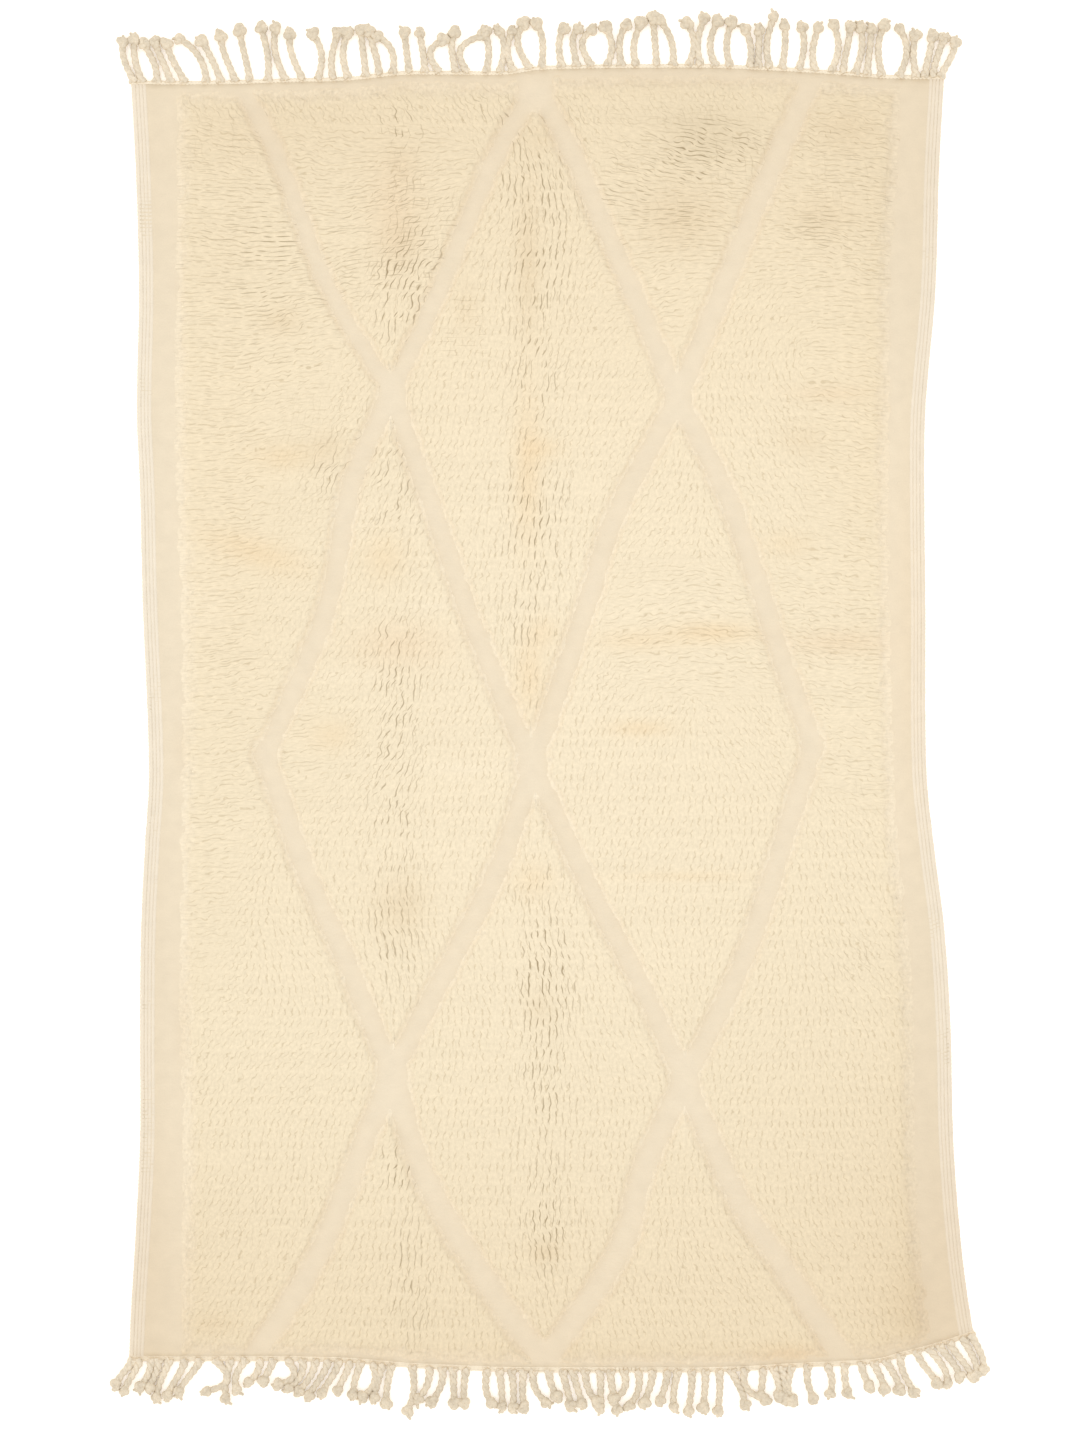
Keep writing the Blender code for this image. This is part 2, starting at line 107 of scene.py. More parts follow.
# Soft stains and tones of years of use, over ground and pile alike. Columns: across, along, half
# width, half length, lean, tone, strength.
STAINS = (
    (0.297, 1.092, 0.095, 0.06, 0.0, "grime", 0.5),
    (0.249, 0.935, 0.08, 0.065, 0.0, "brown", 0.62),
    (0.515, 0.934, 0.07, 0.04, 0.0, "brown", 0.4),
    (0.561, 1.105, 0.06, 0.045, 0.0, "brown", 0.45),
    (-0.293, 0.953, 0.05, 0.1, 0.0, "peach", 0.6),
    (-0.55, 0.3, 0.09, 0.03, -0.3, "amber", 0.6),
    (-0.507, 0.74, 0.04, 0.028, 0.0, "brown", 0.5),
    (-0.5, 0.483, 0.055, 0.026, 0.0, "amber", 0.5),
    (-0.283, 0.126, 0.09, 0.042, 0.0, "peach", 0.7),
    (-0.012, 0.498, 0.035, 0.022, 0.0, "amber", 0.5),
    (-0.036, 0.069, 0.03, 0.07, 0.0, "amber", 0.6),
    (0.173, -0.032, 0.06, 0.016, 0.0, "amber", 0.6),
    (0.553, 0.131, 0.09, 0.025, 0.0, "peach", 0.7),
    (0.31, 0.149, 0.085, 0.02, 0.0, "amber", 0.75),
    (-0.28, -0.37, 0.05, 0.055, 0.0, "brown", 0.6),
    (-0.28, 0.885, 0.035, 0.05, 0.0, "brown", 0.4),
    (-0.04, 0.85, 0.024, 0.13, 0.0, "brown", 0.62),
    (-0.04, 0.46, 0.026, 0.13, 0.0, "amber", 0.65),
    (-0.418, 0.5, 0.04, 0.032, 0.0, "brown", 0.5),
    (-0.41, -0.045, 0.045, 0.03, 0.0, "amber", 0.45),
    (-0.312, 0.29, 0.04, 0.045, 0.0, "amber", 0.5),
    (0.479, 0.514, 0.045, 0.03, 0.0, "brown", 0.4),
    (0.165, 0.134, 0.075, 0.02, 0.0, "amber", 0.45),
    (-0.009, 0.15, 0.03, 0.03, 0.0, "amber", 0.42),
    (0.45, 0.318, 0.045, 0.025, 0.0, "amber", 0.35),
    (0.26, -0.312, 0.12, 0.01, 0.0, "amber", 0.35),
    # The two thin brown rows below, along the left foot of the pile, are painted shade of the pile's rim
    # there.
    (-0.697, -0.6, 0.014, 0.09, 0.0, "brown", 0.45),
    (-0.699, -0.064, 0.014, 0.06, 0.0, "brown", 0.4),
    (-0.156, 0.765, 0.026, 0.05, 0.0, "brown", 0.36),
    (-0.277, 1.033, 0.028, 0.03, 0.0, "brown", 0.3),
    (-0.019, 1.084, 0.03, 0.03, 0.0, "brown", 0.36),
    (-0.017, -0.56, 0.03, 0.035, 0.0, "brown", 0.36),
    (0.528, 0.602, 0.07, 0.016, 0.0, "peach", 0.5),
    (-0.03, -0.32, 0.04, 0.035, 0.0, "amber", 0.4),
    (-0.008, -1.023, 0.03, 0.02, 0.0, "brown", 0.6),
    (-0.635, -1.159, 0.045, 0.022, 0.0, "brown", 0.45),
    (0.68, -1.14, 0.07, 0.1, 0.0, "brown", 0.42),
    (0.458, -1.22, 0.07, 0.022, 0.0, "amber", 0.6),
    (-0.226, 0.2, 0.045, 0.014, 0.0, "pale", 0.5),
    (-0.163, -0.107, 0.09, 0.012, 0.0, "pale", 0.5),
    (-0.38, 0.068, 0.07, 0.01, 0.0, "pale", 0.5),
    (-0.02, 1.185, 0.05, 0.025, 0.0, "pale", 0.5),
    (0.27, -0.79, 0.045, 0.035, 0.0, "pale", 0.45),
    (-0.648, 0.195, 0.03, 0.06, 0.0, "pale", 0.45),
    (0.078, 0.238, 0.03, 0.055, 0.0, "pale", 0.45),
    (-0.365, 0.36, 0.04, 0.035, 0.0, "pale", 0.35),
    (-0.234, 0.368, 0.025, 0.03, 0.0, "pale", 0.35),
    (0.0, 1.18, 1.1, 0.3, 0.0, "brown", 0.45),
    (0.0, 1.212, 3.0, 0.032, 0.0, "brown", 0.42),
    (0.0, -1.2, 1.1, 0.33, 0.0, "brown", 0.53),
    (0.0, -1.225, 3.0, 0.028, 0.0, "brown", 0.38),
    (0.7, 1.05, 0.26, 0.26, 0.0, "brown", 0.3),
    (0.76, -1.0, 0.3, 0.42, 0.0, "brown", 0.5),
    (-0.78, -1.15, 0.26, 0.3, 0.0, "brown", 0.3),
    (-0.77, -0.6, 0.07, 0.6, 0.0, "brown", 0.5),
    (0.74, -0.5, 0.07, 0.5, 0.0, "brown", 0.42),
    (-0.76, 0.0, 0.045, 1.6, 0.0, "grime", 0.36),
    (0.72, 0.0, 0.045, 1.6, 0.0, "grime", 0.34),
    (-0.76, 1.0, 0.05, 0.4, 0.0, "brown", 0.3),
    (0.72, 1.0, 0.05, 0.4, 0.0, "brown", 0.3),
    (0.3, -0.7, 0.5, 0.25, 0.0, "grime", 0.07),
    (-0.45, 1.12, 0.2, 0.09, 0.0, "brown", 0.22),
    (-0.63, 0.87, 0.11, 0.11, 0.0, "brown", 0.16),
    (-0.62, 1.09, 0.11, 0.08, 0.0, "brown", 0.25),
    (0.69, 0.2, 0.045, 0.45, 0.0, "amber", 0.6),
    (0.67, 0.8, 0.06, 0.25, 0.0, "grime", 0.25),
    (0.78, -1.08, 0.07, 0.3, 0.0, "brown", 0.9),
    (-0.77, -1.1, 0.07, 0.26, 0.0, "brown", 0.55),
)


def reading(table, place, column):
    """A column of a station table, read off a smooth curve at places between its rows."""
    rows = np.array(sorted(table))
    at = rows[:, 0]
    value = rows[:, column]
    place = np.clip(place, at[0], at[-1])
    low = np.clip(np.searchsorted(at, place, side="right") - 1, 0, len(at) - 2)
    before = np.maximum(low - 1, 0)
    after = np.minimum(low + 2, len(at) - 1)
    span = at[low + 1] - at[low]
    t = (place - at[low]) / span
    start = value[low]
    end = value[low + 1]
    rise_in = span * (end - value[before]) / (at[low + 1] - at[before])
    rise_out = span * (value[after] - start) / (at[after] - at[low])
    blend = start * (1 - t) ** 2 * (1 + 2 * t) + end * t * t * (3 - 2 * t)
    return blend + rise_in * t * (1 - t) ** 2 - rise_out * t * t * (1 - t)


def soft_spot(x, y, across, along, half_x, half_y, edge=1.0):
    """How much of a soft oval spot reaches each place, from 1 in its middle to 0 outside."""
    return np.exp(-((((x - across) / half_x) ** 2 + ((y - along) / half_y) ** 2) ** edge))


def places_of(mesh):
    """The places of a mesh's vertices, in rows of across, along and height."""
    places = np.empty(len(mesh.vertices) * 3)
    mesh.vertices.foreach_get("co", places)
    return places.reshape(-1, 3)


def lay_tones(mesh, stains_and_shade, share=1.0):
    """Stores stains, and the painted shade some rows carry, on a mesh, by their share, as the colour that
    its wool is multiplied by.
    """
    x, y, _ = places_of(mesh).T
    tone = np.ones((len(x), 4))
    for across, along, half_x, half_y, lean, name, strength in stains_and_shade:
        spot = soft_spot(x, y - lean * (x - across), across, along, half_x, half_y)
        tone[:, :3] *= 1 + spot[:, None] * strength * share * (np.array(TONES[name]) - 1)
    kept = mesh.color_attributes.new("tone", "FLOAT_COLOR", "POINT")
    kept.data.foreach_set("color", tone.ravel())


def placed(name, data):
    """A new object in the scene, for a mesh, a curve, a lamp or a camera."""
    obj = bpy.data.objects.new(name, data)
    bpy.context.scene.collection.objects.link(obj)
    return obj


def put_down(name, bm, material):
    """Puts a finished mesh in the scene, smooth shaded and riding the rug."""
    mesh = bpy.data.meshes.new(name)
    bm.to_mesh(mesh)
    bm.free()
    mesh.materials.append(material)
    mesh.shade_smooth()
    obj = placed(name, mesh)
    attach(obj, "root")
    return obj


def wire(tree, kind, feed, give=0, **settings):
    """Adds a node with its settings and feeds its sockets; gives back one of its outputs."""
    made = tree.nodes.new(kind)
    for name, value in settings.items():
        setattr(made, name, value)
    for socket, value in feed.items():
        if isinstance(value, bpy.types.NodeSocket):
            tree.links.new(value, made.inputs[socket])
        else:
            made.inputs[socket].default_value = value
    return made.outputs[give]


def reckon(tree, operation, *given):
    """The result of a sum or other operation on numbers, given in order."""
    return wire(tree, "ShaderNodeMath", dict(enumerate(given)), operation=operation)


def part_of(tree, vector, axis):
    """One part of a vector: its X, Y or Z."""
    return wire(tree, "ShaderNodeSeparateXYZ", {0: vector}, axis)


def scaled(tree, vector, factor):
    """A place or a colour, multiplied by one number."""
    return wire(tree, "ShaderNodeVectorMath", {0: vector, "Scale": factor}, operation="SCALE")


def ranged(tree, value, low, high, at_low, at_high, **settings):
    """A number that runs from one result to another as a value goes from low to high."""
    feed = {0: value, 1: low, 2: high, 3: at_low, 4: at_high}
    return wire(tree, "ShaderNodeMapRange", feed, **settings)


def cloudy(tree, place, scale, detail, give=0, **settings):
    """Soft uneven noise of a scale, as a number or, as its Color, three numbers."""
    feed = {"Vector": place, "Scale": scale, "Detail": detail}
    return wire(tree, "ShaderNodeTexNoise", feed, give, **settings)


def mixed(tree, share, first, second, how="MIX"):
    """A colour mixed from two, by the share of the second."""
    feed = {0: share, 6: first, 7: second}
    return wire(tree, "ShaderNodeMix", feed, 2, data_type="RGBA", blend_type=how)


def stored(tree, name, give="Vector"):
    """What is stored on the mesh under a name."""
    return wire(tree, "ShaderNodeAttribute", {}, give, attribute_name=name)


def wool(name):
    """A new matt wool material, and its node tree and shader."""
    material = bpy.data.materials.new(name)
    material.use_nodes = True
    shader = material.node_tree.nodes["Principled BSDF"]
    shader.inputs["Roughness"].default_value = 0.95
    shader.inputs["Specular IOR Level"].default_value = 0.15
    return material, material.node_tree, shader


def dress(tree, shader, colour, height, strength, deep):
    """Gives a wool its colour and a fine relief, of a strength and depth, from a height."""
    tree.links.new(colour, shader.inputs["Base Color"])
    feed = {"Strength": strength, "Distance": deep, "Height": height}
    tree.links.new(wire(tree, "ShaderNodeBump", feed, "Normal"), shader.inputs["Normal"])


def flat_woven(name, colour):
    """Flat-woven wool: fine weft rows that wander a little, a dry fibre and the stains."""
    material, tree, shader = wool(name)
    place = wire(tree, "ShaderNodeTexCoord", {}, "Object")
    wander = cloudy(tree, place, scale=30.0, detail=2.0)
    row = reckon(tree, "MULTIPLY_ADD", wander, WEFT_WANDER, part_of(tree, place, "Y"))
    row = reckon(tree, "SINE", reckon(tree, "MULTIPLY", row, 2 * math.pi / WEFT_PITCH))
    fibre = cloudy(tree, place, FIBRE_GRAIN, detail=3.0)
    both = reckon(tree, "ADD", fibre, cloudy(tree, place, scale=38.0, detail=3.0))
    light = ranged(tree, both, 0.7, 1.3, at_low=0.965, at_high=1.03)
    wear_and_painted_light = mixed(tree, 1.0, stored(tree, "tone", "Color"), (*colour, 1.0), "MULTIPLY")
    height = reckon(tree, "MULTIPLY_ADD", row, 0.35, fibre)
    dress(tree, shader, scaled(tree, wear_and_painted_light, light), height, strength=0.5, deep=0.0008)
    return material


bm = bmesh.new()
bmesh.ops.create_grid(bm, x_segments=GROUND_CELLS[0], y_segments=GROUND_CELLS[1], size=0.5)
for vert in bm.verts:
    s, t = vert.co.x + 0.5, vert.co.y + 0.5
    # From a first guess along, each place settles between the wavy sides and ends in three rounds.
    y = -1.25 + 2.47 * t
    for _ in range(3):
        left = float(reading(SIDES, y, 1)) + EDGE_ROOM
        right = float(reading(SIDES, y, 4)) - EDGE_ROOM
        x = left + (right - left) * s
        low = float(reading(ENDS, x, 2)) + HEADING_DEPTH - UNDER_HEADING
        high = float(reading(ENDS, x, 1)) - HEADING_DEPTH + UNDER_HEADING
        y = low + (high - low) * t
    ripple = GROUND_RIPPLE * noise.noise(Vector((x * 11, y * 11, 0.0)))
    vert.co = (x, y, GROUND_THICK - GROUND_SINK + ripple)
walls = bmesh.ops.extrude_face_region(bm, geom=list(bm.faces))["geom"]
for item in walls:
    if isinstance(item, bmesh.types.BMVert):
        item.co.z = 0.0
bmesh.ops.recalc_face_normals(bm, faces=bm.faces)
ground = put_down("ground_cloth", bm, flat_woven("flat_woven_ivory_wool", GROUND_WOOL))
lay_tones(ground.data, STAINS, FLAT_STAINS)
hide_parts("rug")


# The pile: symmetric knots of thick soft ivory wool, laid in rows and columns on the ground and
# clipped shaggy. Ten areas of it stand between the flat-woven bands, each rounding down at its rim
# in a comb of tufts. Old folds have opened it in cracks between the knots, their shade painted dark.
PILE_HEIGHT = 0.013
PILE_RIM = 0.0135
BORDER_SLOPE = 0.45
PILE_FOOT = 0.0056
PILE_SINK = 0.0004
TOP_BORDER = 0.014
BOTTOM_BORDER = 0.006
PILE_CELL = 0.0032
BAND_STEP = 0.046
CROSSING_STRETCH = 0.75
TUFT_RISE = 0.0003
GROOVE_DEPTH = 3.0
GROOVE_BREADTH = 0.32
STEEPEST_LEAN = 0.6
STEEPEST_TILT = 0.3
ROWS_RULE_FROM = 0.4
ROWS_RULE_OVER = 0.3
KNOT_ACROSS = 0.0128
KNOT_ALONG = 0.0088
PILE_WOOL = (0.775, 0.665, 0.481)
# The paler wool of the rims, where the pile rounds down to the flat weave, is painted light that offsets
# the shade there.
RIM_PAINTED_LIGHT_WOOL = (0.825, 0.722, 0.552)
STROKE_SHADE = (0.54, 0.47, 0.34)
STROKE_STRENGTH = 0.37
# The dark of the cracks is painted shade: the colour the wool is mixed towards in them, and how far.
CRACK_PAINTED_SHADE = (0.30, 0.22, 0.12)
CRACK_SHADE_STRENGTH = 0.95
CRACK_BREADTH = 0.15

# How far the knot columns and the knot rows are open where no fold has opened them, and how an
# opened spot spreads past its half width and half length and how firm its edge is.
COLUMNS_OPEN = 0.09
ROWS_OPEN = 0.15
SPREAD_ACROSS = 1.35
SPREAD_ALONG = 1.1
SPOT_EDGE = 1.3

# How the yarn is drawn out, where the columns rule and where the rows do, and its streaks.
YARN_STRETCHES = ((2.3, 1.2, 1.0), (1.0, 2.3, 1.0))
STREAKS = (2.5, 42.0, 1.0)

# The chance below which a crack stays shut, where the pile is closed and where it is wide open.
CLOSED_CHANCE = 0.48
OPENED_CHANCE = 0.12

# Where the flat-woven bands meet or run out at an end. Columns: across, along, flat radius there.
CROSSINGS = {
    "top_left": (-0.6, 1.211, 0.02),
    "top_mid": (-0.025, 1.186, 0.034),
    "top_right": (0.507, 1.215, 0.02),
    "upper_left": (-0.298, 0.605, 0.026),
    "upper_right": (0.245, 0.596, 0.028),
    "left": (-0.538, -0.083, 0.021),
    "middle": (-0.032, -0.1, 0.03),
    "right": (0.502, -0.066, 0.021),
    "lower_left": (-0.298, -0.685, 0.03),
    "lower_right": (0.258, -0.7, 0.028),
    "bottom_left": (-0.564, -1.232, 0.02),
    "bottom_mid": (-0.009, -1.236, 0.024),
    "bottom_right": (0.56, -1.232, 0.02),
}

# The bands. Columns: crossing it leaves, two places on its way, crossing it reaches, width.
BANDS = (
    ("top_left", (-0.522, 1.071), (-0.42, 0.808), "upper_left", 0.028),
    ("top_mid", (-0.106, 1.044), (-0.207, 0.801), "upper_left", 0.031),
    ("top_mid", (0.049, 1.048), (0.173, 0.765), "upper_right", 0.034),
    ("top_right", (0.414, 1.01), (0.333, 0.81), "upper_right", 0.036),
    ("upper_left", (-0.376, 0.427), (-0.422, 0.193), "left", 0.034),
    ("upper_left", (-0.19, 0.297), (-0.141, 0.157), "middle", 0.034),
    ("upper_right", (0.125, 0.371), (0.072, 0.2), "middle", 0.035),
    ("upper_right", (0.35, 0.381), (0.429, 0.142), "right", 0.035),
    ("left", (-0.462, -0.301), (-0.382, -0.48), "lower_left", 0.036),
    ("middle", (-0.084, -0.269), (-0.16, -0.427), "lower_left", 0.036),
    ("middle", (0.084, -0.345), (0.169, -0.508), "lower_right", 0.034),
    ("right", (0.427, -0.303), (0.365, -0.482), "lower_right", 0.036),
    ("lower_left", (-0.391, -0.921), (-0.454, -1.063), "bottom_left", 0.038),
    ("lower_left", (-0.234, -0.888), (-0.11, -1.095), "bottom_mid", 0.041),
    ("lower_right", (0.179, -0.869), (0.135, -1.023), "bottom_mid", 0.042),
    ("lower_right", (0.359, -0.926), (0.443, -1.05), "bottom_right", 0.038),
)

# The areas of pile between the bands. Columns: name, across, along, of a place in each.
PILE_AREAS = (
    ("pile_left", -0.64, 0.0),
    ("pile_right", 0.61, 0.0),
    ("pile_top_left", -0.3, 1.1),
    ("pile_top_right", 0.23, 1.05),
    ("pile_upper_middle", -0.02, 0.5),
    ("pile_middle_left", -0.3, 0.0),
    ("pile_middle_right", 0.25, 0.0),
    ("pile_lower_middle", -0.01, -0.6),
    ("pile_bottom_left", -0.32, -1.1),
    ("pile_bottom_right", 0.3, -1.1),
)

# Broad tones laid on the pile alone and not on the flat weave, paler in the middle and more amber above it
# and at its sides, in the columns of the stains.
PILE_TONES = (
    (0.0, 0.72, 0.9, 0.28, 0.0, "amber", 0.12),
    (0.03, 0.0, 0.42, 0.85, 0.0, "pale", 0.5),
    (-0.62, 0.35, 0.11, 0.4, 0.0, "amber", 0.15),
    (0.62, 0.5, 0.11, 0.3, 0.0, "amber", 0.18),
)

# How the pile lies: the lean of its tufts from upright, in degrees, with 90 for tufts that lie
# along the rows. The first table names seven places across. Columns of the second: along, then the
# lean at each of those places.
LIE_ACROSS = (-0.660, -0.470, -0.280, 0.000, 0.190, 0.380, 0.600)
LIES = (
    (1.14, -40, -35, -30, -28, -45, -40, -60),
    (1.05, -80, -70, 75, -15, -70, -70, -85),
    (0.9, -85, -90, 45, 8, 85, -80, -80),
    (0.76, 90, 78, 18, 5, 60, 30, -82),
    (0.57, 87, 50, 15, 16, 22, -20, -75),
    (0.38, 87, 45, 20, 6, 30, -25, -65),
    (0.15, 86, 30, 16, 5, 68, -62, -83),
    (-0.09, 80, 60, 20, 5, 15, -26, -73),
    (-0.28, 60, 8, 7, 3, 16, 10, -18),
    (-0.47, 50, -20, -10, -7, -14, 15, -28),
    (-0.66, 25, 35, 6, 1, -17, 13, -12),
    (-0.85, 15, 8, 11, 3, 3, -2, -12),
    (-1.04, 27, 20, 9, -7, -6, -25, -18),
    (-1.18, 28, 24, 7, -5, -12, -17, -20),
)

# How the pile has opened. Columns: across, along, half width, half length, how far the knot columns
# are open, how far the knot rows are.
OPENINGS = (
    (-0.283, 1.109, 0.036, 0.05, 0.7, 0.0),
    (-0.278, 1.01, 0.03, 0.08, 0.3, 0.35),
    (-0.275, 0.85, 0.042, 0.05, 1.0, 0.25),
    (-0.23, 0.92, 0.05, 0.08, 0.35, 0.3),
    (-0.29, 0.76, 0.04, 0.06, 0.9, 0.0),
    (-0.29, 0.62, 0.03, 0.06, 0.2, 0.0),
    (-0.29, 0.41, 0.042, 0.13, 0.6, 0.0),
    (-0.29, 0.06, 0.042, 0.16, 0.75, 0.0),
    (-0.293, -0.2, 0.042, 0.12, 0.6, 0.0),
    (-0.295, -0.44, 0.042, 0.12, 0.65, 0.0),
    (-0.283, -0.864, 0.032, 0.06, 0.8, 0.0),
    (-0.265, -1.08, 0.034, 0.14, 0.6, 0.0),
    (-0.065, 1.04, 0.04, 0.09, 0.6, 0.0),
    (0.015, 1.03, 0.035, 0.08, 0.55, 0.0),
    (-0.027, 0.85, 0.055, 0.12, 0.85, 0.0),
    (-0.027, 0.64, 0.045, 0.08, 0.65, 0.0),
    (-0.027, 0.373, 0.05, 0.15, 0.9, 0.0),
    (-0.04, 0.16, 0.045, 0.06, 0.5, 0.0),
    (-0.03, 0.034, 0.028, 0.05, 0.4, 0.0),
    (-0.03, -0.32, 0.04, 0.06, 0.4, 0.0),
    (-0.008, -0.49, 0.048, 0.11, 1.0, 0.0),
    (-0.005, -0.68, 0.046, 0.08, 0.7, 0.0),
    (-0.005, -0.79, 0.046, 0.06, 0.35, 0.0),
    (-0.005, -0.95, 0.046, 0.09, 0.85, 0.0),
    (-0.01, -1.09, 0.04, 0.06, 0.3, 0.0),
    (-0.59, 0.88, 0.11, 0.13, 0.0, 0.4),
    (-0.6, 1.06, 0.1, 0.07, 0.15, 0.25),
    (-0.52, 0.82, 0.06, 0.11, 0.0, 0.25),
    (-0.6, 0.3, 0.11, 0.35, 0.0, 0.12),
    (-0.56, 0.66, 0.12, 0.1, 0.0, 0.15),
    (-0.4, 0.5, 0.08, 0.12, 0.25, 0.12),
    (-0.587, 0.088, 0.05, 0.03, 0.0, 0.25),
    (-0.508, 0.888, 0.045, 0.03, 0.0, 0.25),
    (-0.37, 0.88, 0.06, 0.15, 0.0, 0.35),
    (-0.2, 0.87, 0.06, 0.15, 0.1, 0.25),
    (-0.15, 0.72, 0.055, 0.055, 0.0, 0.28),
    (-0.119, 1.143, 0.04, 0.035, 0.45, 0.2),
    (-0.422, 0.456, 0.024, 0.04, 0.55, 0.0),
    (-0.56, 1.14, 0.12, 0.03, 0.3, 0.1),
    (0.12, 1.14, 0.12, 0.03, 0.3, 0.1),
    (0.3, 1.09, 0.06, 0.045, 0.0, 0.75),
    (0.28, 1.04, 0.045, 0.045, 0.0, 0.5),
    (0.37, 1.055, 0.05, 0.05, 0.25, 0.25),
    (0.26, 0.927, 0.05, 0.04, 0.0, 0.4),
    (0.24, 0.99, 0.12, 0.09, 0.1, 0.28),
    (0.53, 1.09, 0.1, 0.05, 0.0, 0.25),
    (0.5, 0.913, 0.05, 0.03, 0.0, 0.35),
    (0.557, 0.85, 0.09, 0.085, 0.0, 0.3),
    (0.57, 1.0, 0.1, 0.08, 0.15, 0.3),
    (0.13, 0.98, 0.06, 0.12, 0.15, 0.3),
    (0.236, 0.145, 0.17, 0.022, 0.0, 0.28),
    (0.54, 0.115, 0.11, 0.025, 0.0, 0.2),
    (0.58, 0.45, 0.07, 0.2, 0.0, 0.12),
    (0.26, -0.31, 0.15, 0.025, 0.05, 0.15),
    (0.57, -0.156, 0.06, 0.035, 0.15, 0.0),
    (0.585, -0.465, 0.08, 0.05, 0.3, 0.0),
    (0.24, -1.06, 0.2, 0.12, 0.15, 0.0),
    (-0.5, -1.0, 0.16, 0.2, 0.12, 0.0),
)

# Low ridges where the pile has opened along an old fold. Columns: across, height, half width.
FOLD_RIDGES = (
    (-0.293, 0.0022, 0.03),
    (-0.017, 0.0026, 0.034),
)

# The unevenness of the rims, of the pile's top, and of the columns and rows of knots. Columns:
# height, pitch, turn.
RIM_WAVES = (
    (0.001, 0.0134, 0.1),
    (0.001, 0.0085, 1.1),
    (0.0022, 0.061, 0.6),
    (0.0016, 0.027, 2.1),
)
TOP_WAVES = (
    (0.0009, 0.21, 0.7),
    (0.0007, 0.067, 0.3),
)
KNOT_WAVES = (
    (0.002, 0.19, 0.4),
    (0.003, 0.23, 1.9),
)

# The short breaks between the knots, along the columns of knots in the first row and along the rows
# of knots in the second. Columns for the cracks: their length in knots, how far they stray from
# their line, how unevenly their tiers start. Columns for the strokes of shade: length, the chance
# below which none shows, breadth, how tightly they curl, then the last two of the cracks.
CRACK_LINES = (
    (3.6, 0.8, 1.9),
    (2.7, 0.45, 2.2),
)
STROKE_LINES = (
    (2.4, 0.18, 0.15, 0.9, 0.7, 1.1),
    (3.4, 0.16, 0.17, 0.4, 0.9, 2.8),
)


def smooth_line(corners, step):
    """Places a step apart on the smooth curve that passes through all the corners."""
    corners = [Vector(corner) for corner in corners]
    ends = [2 * corners[0] - corners[1], *corners, 2 * corners[-1] - corners[-2]]
    line = []
    for a, b, c, d in zip(ends, ends[1:], ends[2:], ends[3:]):
        count = max(1, round((c - b).length / step))
        for i in range(count):
            t = i / count
            square = (2 * a - 5 * b + 4 * c - d) * (t * t / 2)
            cube = (3 * b - a - 3 * c + d) * (t ** 3 / 2)
            line.append(b + (c - a) * (t / 2) + square + cube)
    return [*line, corners[-1]]


def from_bands(x, y):
    """How far each place is from the edge of the nearest band, negative on the band."""
    nearest = np.full(x.shape, 9.0)
    for start, first, second, end, width in BANDS:
        line = smooth_line([CROSSINGS[start][:2], first, second, CROSSINGS[end][:2]], BAND_STEP)
        for a, b in zip(line, line[1:]):
            way = b - a
            share = ((x - a.x) * way.x + (y - a.y) * way.y) / way.length_squared
            share = np.clip(share, 0.0, 1.0)
            away = np.hypot(x - a.x - way.x * share, y - a.y - way.y * share)
            nearest = np.minimum(nearest, away - width / 2)
    for across, along, radius in CROSSINGS.values():
        nearest = np.minimum(nearest, np.hypot(x - across, (y - along) * CROSSING_STRETCH) - radius)
    return nearest


def waves(x, y, pitch, turn):
    """A gentle uneven swell between -1 and 1 with humps about a pitch across."""
    p = x * math.cos(turn) + y * math.sin(turn)
    q = y * math.cos(turn) - x * math.sin(turn)
    k = 2 * math.pi / pitch
    swell = np.sin(k * p + 1.3 * np.sin(0.61 * k * q))
    swell += np.sin(0.83 * k * q + 1.7 * np.sin(0.47 * k * p + 2.0))
    return swell / 2


def inside_pile(x, y):
    """How far each place is inside the pile's edge, negative on the flat-woven cloth."""
    border = np.minimum(x - reading(SIDES, y, 2), reading(SIDES, y, 3) - x)
    border = np.minimum(border, reading(ENDS, x, 1) - HEADING_DEPTH - TOP_BORDER - y)
    border = np.minimum(border, y - reading(ENDS, x, 2) - HEADING_DEPTH - BOTTOM_BORDER)
    border = np.where(border > 0, border * BORDER_SLOPE, border)
    depth = np.minimum(from_bands(x, y), border)
    return depth + sum(height * waves(x, y, pitch, turn) for height, pitch, turn in RIM_WAVES)


def lie_of_pile(x, y):
    """How far the columns of tufts lean and the rows tilt, and how much the rows rule, 0 to 1."""
    doubled = []
    for wave in (np.cos, np.sin):
        table = [(along, *wave(np.radians(2 * np.array(leans)))) for along, *leans in LIES]
        value = reading(table, y, 1)
        for i in range(1, len(LIE_ACROSS)):
            start, end = LIE_ACROSS[i - 1], LIE_ACROSS[i]
            t = np.clip((x - start) / (end - start), 0.0, 1.0)
            value += (reading(table, y, i + 1) - reading(table, y, i)) * t * t * (3 - 2 * t)
        doubled.append(value)
    angle = np.arctan2(doubled[1], doubled[0]) / 2 + 0.07 * waves(x, y, 0.17, 0.5)
    lying = np.sin(angle) ** 2
    rule = np.clip((lying - ROWS_RULE_FROM) / ROWS_RULE_OVER, 0.0, 1.0)
    lean = (1 - 0.7 * rule) * np.tan(np.clip(angle, -STEEPEST_LEAN, STEEPEST_LEAN))
    tilt = np.cos(angle) * np.sin(angle) / np.maximum(lying, 0.5)
    return lean, rule * np.clip(tilt, -STEEPEST_TILT, STEEPEST_TILT), rule


